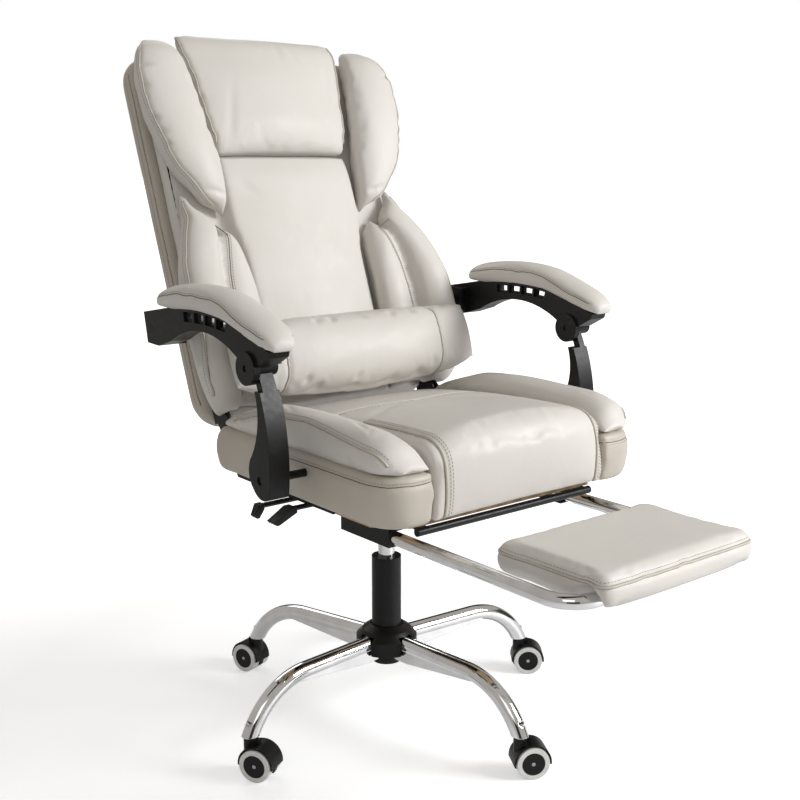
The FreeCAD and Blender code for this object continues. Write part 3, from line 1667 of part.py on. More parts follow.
def make_lever(name, y, end_x, paddle_drop, paddle_width, lean_out):
    """Rod that turns in the tilt mechanism, with a flat paddle bent down at its outer end."""
    radius = size("lever_rod_diameter") / 2
    z = size("lever_height")
    inner_end = -(size("mechanism_half_width") - size("sheet_metal") - 5)
    rod = rod_shape(inner_end, -end_x, -y, z, radius)
    outline = Part.makePolygon(
        [
            Vector(-end_x + 6, -y - paddle_width / 2, z + radius),
            Vector(-end_x - 4, -y - paddle_width / 2, z + radius),
            Vector(-end_x - lean_out - 4, -y - paddle_width / 2, z - paddle_drop + 4),
            Vector(-end_x - lean_out, -y - paddle_width / 2, z - paddle_drop),
            Vector(-end_x - lean_out + 4, -y - paddle_width / 2, z - paddle_drop),
            Vector(-end_x + 6, -y - paddle_width / 2, z - radius),
            Vector(-end_x + 6, -y - paddle_width / 2, z + radius),
        ]
    )
    paddle = Part.Face(outline).extrude(Vector(0, paddle_width, 0))
    solid(name, rod.fuse(paddle).removeSplitter())


def build():
    make_hub()
    for number in range(1, 6):
        make_leg(number)
    make_column()
    for number in range(1, 6):
        make_caster(number)
    make_lift()
    make_seat_board()
    make_mechanism()
    make_bolts()
    make_side_plates()
    make_seat_box()
    make_seat_cushion()
    make_seat_bolster("seat_bolster_left", -1)
    make_seat_bolster("seat_bolster_right", 1)
    make_back_frame()
    make_back_shell()
    make_back_panel()
    make_head_cushion()
    make_wing("wing_left", -1)
    make_wing("wing_right", 1)
    make_back_bolsters("back_bolsters_left", -1)
    make_back_bolsters("back_bolsters_right", 1)
    make_lumbar_pillow()
    for word, side in (("left", -1), ("right", 1)):
        make_arm_pad("arm_pad_" + word, side)
        make_arm_rail("arm_rail_" + word, side)
        make_arm_upright("arm_upright_" + word, side)
    make_footrest_frame()
    make_footrest_carrier()
    make_footrest_pad()
    make_footrest_hinges()
    make_lever("height_lever", size("height_lever_y"), 246, 18, 22, 30)
    make_lever("recline_lever", size("recline_lever_y"), 274, 17, 13, 7)


def check_and_write():
    doc.recompute()
    for item in doc.Objects:
        if "Invalid" in item.State or "Error" in item.State:
            raise RuntimeError("%s failed: %s" % (item.Name, item.State))
    for name, feature in sorted(nodes.items()):
        shape = feature.Shape
        if shape.isNull() or not shape.isValid():
            raise RuntimeError("%s has no valid shape" % name)
        if not shape.Solids:
            raise RuntimeError("%s holds no solid" % name)
        shape.exportStep("parts/%s.step" % name)
    print("nodes written:", len(nodes))


build()
check_and_write()
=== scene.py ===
"""Looks of a reclining office chair with a footrest: leather covers, seams, metal and plastic finishes."""

import json
import math

import bpy
import numpy as np
from mathutils import Matrix, Vector
from mathutils.bvhtree import BVHTree


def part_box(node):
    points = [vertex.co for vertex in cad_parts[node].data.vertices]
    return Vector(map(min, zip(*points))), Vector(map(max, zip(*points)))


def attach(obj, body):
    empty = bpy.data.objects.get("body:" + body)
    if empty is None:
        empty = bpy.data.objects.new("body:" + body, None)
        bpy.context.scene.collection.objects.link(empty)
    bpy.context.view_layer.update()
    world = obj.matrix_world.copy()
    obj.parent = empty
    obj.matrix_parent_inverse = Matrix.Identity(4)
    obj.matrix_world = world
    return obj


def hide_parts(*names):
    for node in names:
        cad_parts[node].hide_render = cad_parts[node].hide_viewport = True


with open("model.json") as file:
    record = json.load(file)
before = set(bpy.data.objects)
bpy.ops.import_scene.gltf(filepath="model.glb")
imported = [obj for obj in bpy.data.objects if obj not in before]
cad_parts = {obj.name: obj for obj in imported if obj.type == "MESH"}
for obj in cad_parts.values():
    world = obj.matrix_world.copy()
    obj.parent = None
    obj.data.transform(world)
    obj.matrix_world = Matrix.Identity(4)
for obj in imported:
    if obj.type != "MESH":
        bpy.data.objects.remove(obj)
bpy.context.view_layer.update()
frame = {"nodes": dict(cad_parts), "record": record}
scene = bpy.context.scene
nodes = frame["nodes"]

# Camera as solved from the photograph: place and viewing direction in the chair's frame
CAMERA_PLACE = Vector((-1.17275, -1.49078, 0.94373))
CAMERA_AZIMUTH = math.radians(-38.89)
CAMERA_DIP = math.radians(11.57)
CAMERA_LENS = 52.69

# Backrest plane: hinge and lean, so that seams can be given by height on the backrest
HINGE = Vector((0, 0.147, 0.528))
LEAN = math.radians(21)
BACK_UP = Vector((0, math.sin(LEAN), math.cos(LEAN)))
BACK_REAR = Vector((0, math.cos(LEAN), -math.sin(LEAN)))
RIGHTWARDS = Vector((1, 0, 0))
UPWARDS = Vector((0, 0, 1))
FORWARDS = Vector((0, -1, 0))


def on_back(x, height, depth=-0.1):
    """Point given by its place across, up and behind the plane of the backrest."""
    return HINGE + RIGHTWARDS * x + BACK_UP * height + BACK_REAR * depth


# Small tools for meshes


def new_object(name, mesh):
    obj = bpy.data.objects.new(name, mesh)
    scene.collection.objects.link(obj)
    return obj


def points_of(mesh):
    co = np.empty(len(mesh.vertices) * 3)
    mesh.vertices.foreach_get("co", co)
    return co.reshape(-1, 3)


def normals_of(mesh):
    no = np.empty(len(mesh.vertices) * 3)
    mesh.vertices.foreach_get("normal", no)
    return no.reshape(-1, 3)


def move_points(mesh, co):
    mesh.vertices.foreach_set("co", co.ravel())
    mesh.update()


def baked(obj):
    """Put the result of the modifiers into the mesh."""
    graph = bpy.context.evaluated_depsgraph_get()
    mesh = bpy.data.meshes.new_from_object(obj.evaluated_get(graph))
    obj.modifiers.clear()
    obj.data = mesh
    return obj


def relax(mesh, rounds, strength=0.5):
    """Even out the surface by moving each point towards the middle of its neighbours."""
    edges = np.empty(len(mesh.edges) * 2, dtype=np.int64)
    mesh.edges.foreach_get("vertices", edges)
    a, b = edges.reshape(-1, 2).T
    co = points_of(mesh)
    count = np.bincount(np.concatenate((a, b)), minlength=len(co)).clip(1)[:, None]
    for _ in range(rounds):
        total = np.zeros_like(co)
        for axis in range(3):
            total[:, axis] += np.bincount(a, weights=co[b, axis], minlength=len(co))
            total[:, axis] += np.bincount(b, weights=co[a, axis], minlength=len(co))
        co += (total / count - co) * strength
    move_points(mesh, co)


def inflate(obj, pressure, cap, frames=20):
    """Blow the cover up like stuffed leather, and let no point travel further than the cap."""
    rest = points_of(obj.data)
    cloth = obj.modifiers.new("stuffing", "CLOTH")
    cloth.settings.quality = 3
    cloth.settings.mass = 0.3
    cloth.settings.tension_stiffness = 12
    cloth.settings.compression_stiffness = 12
    cloth.settings.bending_stiffness = 0.4
    cloth.settings.use_pressure = True
    cloth.settings.uniform_pressure_force = pressure
    cloth.settings.effector_weights.gravity = 0
    cloth.point_cache.frame_start = 1
    cloth.point_cache.frame_end = frames
    for number in range(1, frames + 1):
        scene.frame_set(number)
    graph = bpy.context.evaluated_depsgraph_get()
    swollen = points_of(obj.evaluated_get(graph).data)
    obj.modifiers.clear()
    scene.frame_set(1)
    travel = swollen - rest
    length = np.linalg.norm(travel, axis=1, keepdims=True).clip(1e-9)
    move_points(obj.data, rest + travel * np.minimum(1, cap / length))


def press_fold(mesh, middle, along, length, width, depth):
    """Push one soft crease into the surface, with a low swell on each side of it."""
    co, no = points_of(mesh), normals_of(mesh)
    gap = co - np.array(middle)
    along = np.array(along.normalized())
    run = gap @ along
    off = np.linalg.norm(gap - np.outer(run, along), axis=1)
    side = off / width
    shape = (1 - 0.9 * side**2) * np.exp(-(side**2)) * np.exp(-((run / length) ** 2))
    move_points(mesh, co - no * (depth * shape)[:, None])


def ripple(mesh, seed, wave, height):
    """Faint uneven surface of leather over foam."""
    rng = np.random.default_rng(seed)
    co, no = points_of(mesh), normals_of(mesh)
    total = np.zeros(len(co))
    for _ in range(9):
        direction = rng.normal(size=3)
        direction /= np.linalg.norm(direction)
        total += np.sin(co @ direction * (2 * math.pi / (wave * rng.uniform(0.7, 1.5))) + rng.uniform(0, 6.28))
    move_points(mesh, co + no * (height * total / 9)[:, None])


def even_line(points, spacing):
    """The same line with points at an even spacing, eased at its corners."""
    line = np.array(points, float)
    for _ in range(3):
        line[1:-1] = (line[:-2] + 2 * line[1:-1] + line[2:]) / 4
    steps = np.linalg.norm(np.diff(line, axis=0), axis=1)
    run = np.concatenate(([0], np.cumsum(steps)))
    stops = np.linspace(0, run[-1], max(3, int(run[-1] / spacing) + 1))
    return np.stack([np.interp(stops, run, line[:, axis]) for axis in range(3)], axis=1)


def ridge(mesh, axis, start, end, facing, count=60):
    """Line along a piece through the points that reach furthest in the facing direction."""
    co = points_of(mesh)
    run = co @ np.array(axis)
    reach = co @ np.array(facing)
    line = []
    for stop in np.linspace(start, end, count):
        near = np.abs(run - stop) < 0.004
        if near.any():
            line.append(co[near][np.argmax(reach[near])])
    return even_line(line, 0.004)


def girdle(mesh, middle, level, first=0.0, last=2 * math.pi, count=120):
    """Line round a piece at one height, as an angle from first to last about its middle."""
    co = points_of(mesh)
    near = co[np.abs(co[:, 2] - level) < 0.004]
    angle = np.arctan2(near[:, 1] - middle[1], near[:, 0] - middle[0])
    reach = np.hypot(near[:, 0] - middle[0], near[:, 1] - middle[1])
    line = []
    for stop in np.linspace(first, last, count):
        gap = np.abs((angle - stop + math.pi) % (2 * math.pi) - math.pi)
        close = gap < 0.04
        if close.any():
            line.append(near[close][np.argmax(reach[close])])
    return even_line(line, 0.004)


def seat_on(mesh, line, lift):
    """Lay a line on the surface; gives its points and the surface normals there."""
    tree = BVHTree.FromPolygons([v.co for v in mesh.vertices], [p.vertices for p in mesh.polygons])
    laid, normals = [], []
    for point in line:
        place, normal, _, _ = tree.find_nearest(Vector(point))
        laid.append(place + normal * lift)
        normals.append(normal)
    return laid, normals


def groove(mesh, line, width, depth):
    """Draw the surface in along a sewn line."""
    co, no = points_of(mesh), normals_of(mesh)
    line = np.asarray(line)
    low, high = line.min(0) - 3 * width, line.max(0) + 3 * width
    near = np.where(((co > low) & (co < high)).all(1))[0]
    if not len(near):
        return
    gap = np.full(len(near), 9.0)
    for start in range(0, len(line), 40):
        part = line[start : start + 40]
        gap = np.minimum(gap, np.linalg.norm(co[near][:, None] - part[None], axis=2).min(1))
    co[near] -= no[near] * (depth * np.exp(-((gap / width) ** 2)))[:, None]
    move_points(mesh, co)


def tube(name, line, radius, sides=8):
    """Round cord along a line, with closed ends."""
    line = [Vector(p) for p in line]
    rings, faces = [], []
    turn = None
    for index, point in enumerate(line):
        ahead = line[min(index + 1, len(line) - 1)]
        behind = line[max(index - 1, 0)]
        heading = (ahead - behind).normalized()
        if turn is None:
            turn = heading.orthogonal().normalized()
        turn = (turn - heading * turn.dot(heading)).normalized()
        across = heading.cross(turn)
        for step in range(sides):
            angle = 2 * math.pi * step / sides
            rings.append(point + (turn * math.cos(angle) + across * math.sin(angle)) * radius)
    for index in range(len(line) - 1):
        for step in range(sides):
            a = index * sides + step
            b = index * sides + (step + 1) % sides
            faces.append((a, b, b + sides, a + sides))
    faces.append(tuple(range(sides - 1, -1, -1)))
    faces.append(tuple(range((len(line) - 1) * sides, len(line) * sides)))
    mesh = bpy.data.meshes.new(name)
    mesh.from_pydata(rings, [], faces)
    mesh.shade_smooth()
    return new_object(name, mesh)


def stitch_row(name, line, normals, offset, pitch=0.0052, length=0.0036, radius=0.00042):
    """Row of short threads beside a line, each a slim six-sided bar that dips in at its ends."""
    points = [Vector(p) for p in line]
    run = [0.0]
    for a, b in zip(points, points[1:]):
        run.append(run[-1] + (b - a).length)
    verts, faces = [], []
    stop = pitch
    index = 0
    while stop < run[-1] - pitch:
        while run[index + 1] < stop:
            index += 1
        share = (stop - run[index]) / max(run[index + 1] - run[index], 1e-9)
        heading = (points[index + 1] - points[index]).normalized()
        normal = normals[index].lerp(normals[index + 1], share).normalized()
        side = heading.cross(normal).normalized()
        middle = points[index].lerp(points[index + 1], share) + side * offset
        base = len(verts)
        for along, size in ((-0.5, 0.35), (-0.25, 1.0), (0.25, 1.0), (0.5, 0.35)):
            for step in range(6):
                angle = math.pi * step / 3
                around = (side * math.cos(angle) + normal * math.sin(angle)) * radius * size
                verts.append(middle + heading * along * length + around)
        for ring in range(3):
            for step in range(6):
                a = base + ring * 6 + step
                b = base + ring * 6 + (step + 1) % 6
                faces.append((a, b, b + 6, a + 6))
        faces.append(tuple(base + 5 - step for step in range(6)))
        faces.append(tuple(base + 18 + step for step in range(6)))
        stop += pitch
    mesh = bpy.data.meshes.new(name)
    mesh.from_pydata(verts, [], faces)
    mesh.shade_smooth()
    return new_object(name, mesh)


# Materials


def material(name):
    made = bpy.data.materials.new(name)
    made.use_nodes = True
    return made, made.node_tree, made.node_tree.nodes["Principled BSDF"]


def mixed_colour(tree, amount, low, high):
    """Colour between two, by the value of another node's output."""
    ramp = tree.nodes.new("ShaderNodeValToRGB")
    ramp.color_ramp.elements[0].color = (*low, 1)
    ramp.color_ramp.elements[1].color = (*high, 1)
    tree.links.new(amount, ramp.inputs["Fac"])
    return ramp.outputs["Color"]


def noise_of(tree, scale, detail=3.0, roughness=0.5):
    place = tree.nodes.new("ShaderNodeTexCoord")
    noise = tree.nodes.new("ShaderNodeTexNoise")
    noise.inputs["Scale"].default_value = scale
    noise.inputs["Detail"].default_value = detail
    noise.inputs["Roughness"].default_value = roughness
    tree.links.new(place.outputs["Object"], noise.inputs["Vector"])
    return noise.outputs["Fac"]


def ranged(tree, value, low, high, start=0.3, end=0.7):
    spread = tree.nodes.new("ShaderNodeMapRange")
    spread.inputs["From Min"].default_value = start
    spread.inputs["From Max"].default_value = end
    spread.inputs["To Min"].default_value = low
    spread.inputs["To Max"].default_value = high
    tree.links.new(value, spread.inputs["Value"])
    return spread.outputs["Result"]


def bumped(tree, height, strength, distance, normal=None):
    bump = tree.nodes.new("ShaderNodeBump")
    bump.inputs["Strength"].default_value = strength
    bump.inputs["Distance"].default_value = distance
    tree.links.new(height, bump.inputs["Height"])
    if normal is not None:
        tree.links.new(normal, bump.inputs["Normal"])
    return bump.outputs["Normal"]


def rounded_edges(tree, radius):
    bevel = tree.nodes.new("ShaderNodeBevel")
    bevel.samples = 6
    bevel.inputs["Radius"].default_value = radius
    return bevel.outputs["Normal"]


def leather(name, pale, deep):
    """Smooth coated leather: fine pebble grain, faint patches of tone and a soft uneven gloss."""
    made, tree, shader = material(name)
    patches = noise_of(tree, 7, 4)
    colour = mixed_colour(tree, ranged(tree, patches, 0, 1), deep, pale)
    tree.links.new(colour, shader.inputs["Base Color"])
    place = tree.nodes.new("ShaderNodeTexCoord")
    pebbles = tree.nodes.new("ShaderNodeTexVoronoi")
    pebbles.feature = "SMOOTH_F1"
    pebbles.inputs["Scale"].default_value = 620
    pebbles.inputs["Smoothness"].default_value = 0.6
    tree.links.new(place.outputs["Object"], pebbles.inputs["Vector"])
    grain = bumped(tree, pebbles.outputs["Distance"], 0.16, 0.0006)
    folds = bumped(tree, noise_of(tree, 26, 5, 0.6), 0.12, 0.004, grain)
    tree.links.new(folds, shader.inputs["Normal"])
    gloss = ranged(tree, noise_of(tree, 60, 3), 0.44, 0.58)
    tree.links.new(gloss, shader.inputs["Roughness"])
    shader.inputs["Specular IOR Level"].default_value = 0.38
    shader.inputs["Coat Weight"].default_value = 0.05
    shader.inputs["Coat Roughness"].default_value = 0.35
    return made


def thread(name, colour):
    made, tree, shader = material(name)
    twist = noise_of(tree, 900, 2)
    low = tuple(c * 0.8 for c in colour)
    tree.links.new(mixed_colour(tree, ranged(tree, twist, 0, 1), low, colour), shader.inputs["Base Color"])
    shader.inputs["Roughness"].default_value = 0.6
    return made


def moulded(name, colour, rough, grain):
    """Moulded black plastic or powder coat: fine spark texture and softened edges."""
    made, tree, shader = material(name)
    speck = noise_of(tree, 45, 4)
    low = tuple(c * 0.75 for c in colour)
    tree.links.new(mixed_colour(tree, ranged(tree, speck, 0, 1), low, colour), shader.inputs["Base Color"])
    tree.links.new(ranged(tree, noise_of(tree, 120, 3), rough - 0.05, rough + 0.07), shader.inputs["Roughness"])
    edges = rounded_edges(tree, 0.0012)
    tree.links.new(bumped(tree, noise_of(tree, 1500, 2), grain, 0.0003, edges), shader.inputs["Normal"])
    shader.inputs["Specular IOR Level"].default_value = 0.28
    return made


def chrome(name):
    """Polished plating with a trace of haze and fine wipe marks."""
    made, tree, shader = material(name)
    shader.inputs["Metallic"].default_value = 1
    haze = noise_of(tree, 30, 4)
    tone = mixed_colour(tree, ranged(tree, haze, 0, 1), (0.78, 0.78, 0.79), (0.9, 0.9, 0.91))
    tree.links.new(tone, shader.inputs["Base Color"])
    tree.links.new(ranged(tree, noise_of(tree, 90, 5), 0.04, 0.1), shader.inputs["Roughness"])
    edges = rounded_edges(tree, 0.0012)
    tree.links.new(bumped(tree, noise_of(tree, 14, 2), 0.02, 0.002, edges), shader.inputs["Normal"])
    return made


def steel(name, colour, rough):
    made, tree, shader = material(name)
    shader.inputs["Metallic"].default_value = 1
    low = tuple(c * 0.8 for c in colour)
    tree.links.new(mixed_colour(tree, ranged(tree, noise_of(tree, 60), 0, 1), low, colour), shader.inputs["Base Color"])
    tree.links.new(ranged(tree, noise_of(tree, 400, 4), rough - 0.08, rough + 0.08), shader.inputs["Roughness"])
    return made


def rubber(name, colour):
    made, tree, shader = material(name)
    low = tuple(c * 0.88 for c in colour)
    tree.links.new(mixed_colour(tree, ranged(tree, noise_of(tree, 90), 0, 1), low, colour), shader.inputs["Base Color"])
    tree.links.new(ranged(tree, noise_of(tree, 300), 0.5, 0.65), shader.inputs["Roughness"])
    tree.links.new(rounded_edges(tree, 0.0015), shader.inputs["Normal"])
    return made


def plywood(name):
    made, tree, shader = material(name)
    place = tree.nodes.new("ShaderNodeTexCoord")
    wave = tree.nodes.new("ShaderNodeTexWave")
    wave.inputs["Scale"].default_value = 9
    wave.inputs["Distortion"].default_value = 6
    wave.inputs["Detail"].default_value = 3
    tree.links.new(place.outputs["Object"], wave.inputs["Vector"])
    tone = mixed_colour(tree, wave.outputs["Fac"], (0.42, 0.29, 0.17), (0.6, 0.45, 0.28))
    tree.links.new(tone, shader.inputs["Base Color"])
    shader.inputs["Roughness"].default_value = 0.7
    return made


PALE = leather("pale_leather", (0.665, 0.642, 0.61), (0.63, 0.604, 0.565))
# Painted shade: a darker, warmer copy of the pale leather, used for the back shell and the seat box, which stand mostly
# in shade.
SHADED_SIDE_LEATHER = leather("shaded_side_leather", (0.53, 0.492, 0.435), (0.485, 0.443, 0.382))
# Painted shade: the piping is cut from the same leather but coloured darker, so the seams read as dark lines.
SHADED_WELT_LEATHER = leather("shaded_welt_leather", (0.56, 0.52, 0.462), (0.5, 0.46, 0.4))
THREAD = thread("sewing_thread", (0.33, 0.29, 0.235))
# Painted shade: near-black cord laid in seam valleys and under the piping, where the seams fall into shade.
PAINTED_SEAM_SHADE = thread("seam_shadow", (0.16, 0.13, 0.1))
BLACK = moulded("black_moulding", (0.006, 0.006, 0.0064), 0.34, 0.08)
COAT = moulded("black_coat", (0.006, 0.006, 0.0064), 0.38, 0.06)
CHROME = chrome("bright_chrome")
STEEL = steel("plain_steel", (0.55, 0.55, 0.56), 0.35)
TREAD = rubber("white_tread", (0.78, 0.78, 0.77))
WOOD = plywood("plain_plywood")

SLOT_MATERIALS = {
    "cream_leather": PALE,
    "black_plastic": BLACK,
    "white_tread": TREAD,
    "bright_steel": CHROME,
    "plain_steel": STEEL,
    "black_metal": COAT,
    "plywood": WOOD,
}


def finish_hard_parts():
    """Give each carried-over part the finish of its material slot."""
    for entry in frame["record"]["subparts"]:
        mesh = nodes[entry["node"]].data
        mesh.materials.clear()
        mesh.materials.append(SLOT_MATERIALS[entry["material_slot"]])


# Upholstery


def cover(node, body, voxel, shrink, cap, pressure=4.0, rounds=4, skin=PALE, wave=0.12, swell=0.0006):
    """Leather cover over one soft part: even mesh, stuffed, smoothed and faintly uneven."""
    obj = new_object(node + "_cover", nodes[node].data.copy())
    remesh = obj.modifiers.new("even", "REMESH")
    remesh.mode = "VOXEL"
    remesh.voxel_size = voxel
    baked(obj)
    relax(obj.data, rounds)
    co, no = points_of(obj.data), normals_of(obj.data)
    move_points(obj.data, co - no * shrink)
    inflate(obj, pressure, cap)
    relax(obj.data, 2, 0.4)
    smooth = obj.modifiers.new("finer", "SUBSURF")
    smooth.levels = 1
    smooth.render_levels = 1
    baked(obj)
    ripple(obj.data, len(node), wave, swell)
    obj.data.materials.clear()
    obj.data.materials.append(skin)
    obj.data.shade_smooth()
    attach(obj, body)
    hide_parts(node)
    return obj


def trim_piece(obj, body, look):
    obj.data.materials.append(look)
    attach(obj, body)
    return obj


def welted_seam(tag, obj, body, line, radius=0.0021, rows=(0.0065,), depth=0.0016):
    """Piping in a sewn groove, with rows of stitches beside it."""
    groove(obj.data, line, 0.005, depth)
    laid, normals = seat_on(obj.data, line, radius * 0.35)
    # The piping gets the darker copy of the leather: painted seam shade.
    trim_piece(tube(tag + "_welt", laid, radius), body, SHADED_WELT_LEATHER)
    # Wider dark cord sunk under the piping so that it peeks out at both sides: painted shade along the seam.
    sunk, _ = seat_on(obj.data, line, -radius * 0.9)
    trim_piece(tube(tag + "_seam_shade", sunk, radius * 1.6), body, PAINTED_SEAM_SHADE)
    for number, offset in enumerate(rows):
        flat, up = seat_on(obj.data, [p + n.cross(d) * offset for p, n, d in headed(laid, normals)], 0.0002)
        trim_piece(stitch_row("%s_stitches_%d" % (tag, number + 1), flat, up, 0), body, THREAD)


def plain_seam(tag, obj, body, line, offsets=(-0.0035, 0.0035), depth=0.0022, width=0.004):
    """Sewn joint without piping: a narrow valley with a row of stitches on each side."""
    groove(obj.data, line, width, depth)
    laid, normals = seat_on(obj.data, line, 0.0)
    # Thin dark cord in the valley: painted shade of the seam.
    trim_piece(tube(tag + "_seam_shade", laid, 0.0007, 6), body, PAINTED_SEAM_SHADE)
    for number, offset in enumerate(offsets):
        flat, up = seat_on(obj.data, [p + n.cross(d) * offset for p, n, d in headed(laid, normals)], 0.0002)
        trim_piece(stitch_row("%s_stitches_%d" % (tag, number + 1), flat, up, 0), body, THREAD)


def headed(points, normals):
    """Each point of a line with its surface normal and its heading."""
    for index, (point, normal) in enumerate(zip(points, normals)):
        ahead = points[min(index + 1, len(points) - 1)]
        behind = points[max(index - 1, 0)]
        yield point, normal, (ahead - behind).normalized()


def back_height(height):
    """Distance along the backrest's up direction, as a value for ridge."""
    return on_back(0, height, 0).dot(BACK_UP)


def dress_back():
    # The back shell wears the darker copy of the leather: painted shade.
    shell = cover("back_shell", "backrest", 0.007, 0.0004, 0.0006, skin=SHADED_SIDE_LEATHER, swell=0.0004)
    for side, tag in ((-1, "left"), (1, "right")):
        facing = RIGHTWARDS * side - BACK_REAR * 0.5
        line = ridge(shell.data, BACK_UP, back_height(0.03), back_height(0.62), facing)
        welted_seam("shell_" + tag, shell, "backrest", line)

    panel = cover("back_panel", "backrest", 0.006, 0.001, 0.0015, swell=0.0008)
    press_fold(panel.data, on_back(-0.095, 0.385, -0.025), RIGHTWARDS + BACK_UP * -0.9, 0.03, 0.014, 0.0014)
    press_fold(panel.data, on_back(0.06, 0.3, -0.03), RIGHTWARDS * 0.3 + BACK_UP, 0.08, 0.024, 0.0013)

    head = cover("head_cushion", "backrest", 0.005, 0.002, 0.0045, swell=0.001)
    for across, height, tilt, length, depth in (
        (-0.1, 0.52, 0.25, 0.05, 0.0022),
        (-0.055, 0.5, -0.2, 0.04, 0.0018),
        (0.02, 0.63, 0.12, 0.035, 0.0016),
        (0.06, 0.6, -0.3, 0.05, 0.0018),
        (0.11, 0.56, 0.2, 0.05, 0.002),
        (0.0, 0.47, 0.9, 0.05, 0.0014),
        (0.1, 0.49, -0.8, 0.04, 0.0014),
    ):
        along = BACK_UP + RIGHTWARDS * tilt
        press_fold(head.data, on_back(across, height, -0.035), along, length, 0.011, 0.75 * depth)
    for side, tag in ((-1, "left"), (1, "right")):
        facing = RIGHTWARDS * side - BACK_REAR * 0.8
        line = ridge(head.data, BACK_UP, back_height(0.465), back_height(0.668), facing)
        welted_seam("head_" + tag, head, "backrest", line, radius=0.0018)


def dress_wings():
    for side, tag in ((-1, "left"), (1, "right")):
        wing = cover("wing_" + tag, "backrest", 0.005, 0.0035, 0.011, pressure=5)
        for across, height, length, depth in (
            (0.238, 0.59, 0.03, 0.004),
            (0.222, 0.548, 0.045, 0.0032),
            (0.25, 0.5, 0.026, 0.0026),
            (0.21, 0.468, 0.04, 0.0042),
            (0.236, 0.455, 0.03, 0.003),
            (0.196, 0.43, 0.03, 0.0026),
            (0.16, 0.372, 0.025, 0.003),
        ):
            along = RIGHTWARDS * side + BACK_UP * 0.25
            press_fold(wing.data, on_back(side * across, height, -0.045), along, length, 0.007, depth)
        facing = RIGHTWARDS * side - BACK_REAR * 0.75
        line = ridge(wing.data, BACK_UP, back_height(0.352), back_height(0.65), facing)
        welted_seam("wing_%s" % tag, wing, "backrest", line, radius=0.0017)


def dress_back_bolsters():
    for side, tag in ((-1, "left"), (1, "right")):
        rolls = cover("back_bolsters_" + tag, "backrest", 0.005, 0.0025, 0.008)
        facing = RIGHTWARDS * side - BACK_REAR * 0.7
        line = ridge(rolls.data, BACK_UP, back_height(0.03), back_height(0.372), facing)
        welted_seam("bolster_edge_" + tag, rolls, "backrest", line, radius=0.0018)
        inner = [on_back(side * across, height, -0.055) for across, height in INNER_ROLL_SEAM]
        plain_seam("bolster_inner_" + tag, rolls, "backrest", even_line(inner, 0.004))
        press_fold(
            rolls.data, on_back(side * 0.24, 0.06, -0.06), RIGHTWARDS * side + BACK_UP * 0.5, 0.03, 0.009, 0.003
        )


INNER_ROLL_SEAM = (
    (0.192, 0.02),
    (0.191, 0.1),
    (0.19, 0.18),
    (0.186, 0.24),
    (0.175, 0.29),
    (0.16, 0.322),
)


def dress_pillow():
    pillow = cover("lumbar_pillow", "backrest", 0.005, 0.0025, 0.011, pressure=5, wave=0.09, swell=0.0009)
    for end in (-0.168, 0.16):
        loop = []
        for step in range(49):
            angle = math.radians(-100 + 200 * step / 48)
            spot = on_back(end, 0.0713 + 0.09 * math.sin(angle), -0.09 - 0.075 * math.cos(angle))
            loop.append(spot)
        laid, _ = seat_on(pillow.data, loop, 0)
        tag = "pillow_left" if end < 0 else "pillow_right"
        welted_seam(tag, pillow, "backrest", even_line(laid, 0.004), radius=0.0016, rows=(), depth=0.0026)
    for across, height, tilt, length, depth in (
        (-0.06, 0.12, 0.35, 0.035, 0.003),
        (-0.1, 0.1, 0.5, 0.04, 0.0034),
        (0.0, 0.13, -0.3, 0.03, 0.0026),
        (0.06, 0.11, 0.4, 0.04, 0.003),
        (0.11, 0.12, -0.35, 0.035, 0.003),
        (-0.13, 0.03, 0.45, 0.04, 0.003),
        (0.13, 0.04, -0.5, 0.04, 0.003),
        (-0.03, 0.03, 0.2, 0.035, 0.0022),
        (-0.2, 0.01, 0.6, 0.03, 0.0034),
        (-0.215, 0.04, 0.8, 0.03, 0.003),
        (0.2, 0.02, -0.7, 0.03, 0.0032),
    ):
        along = BACK_UP + RIGHTWARDS * tilt
        press_fold(pillow.data, on_back(across, height, -0.13), along, length, 0.009, depth)


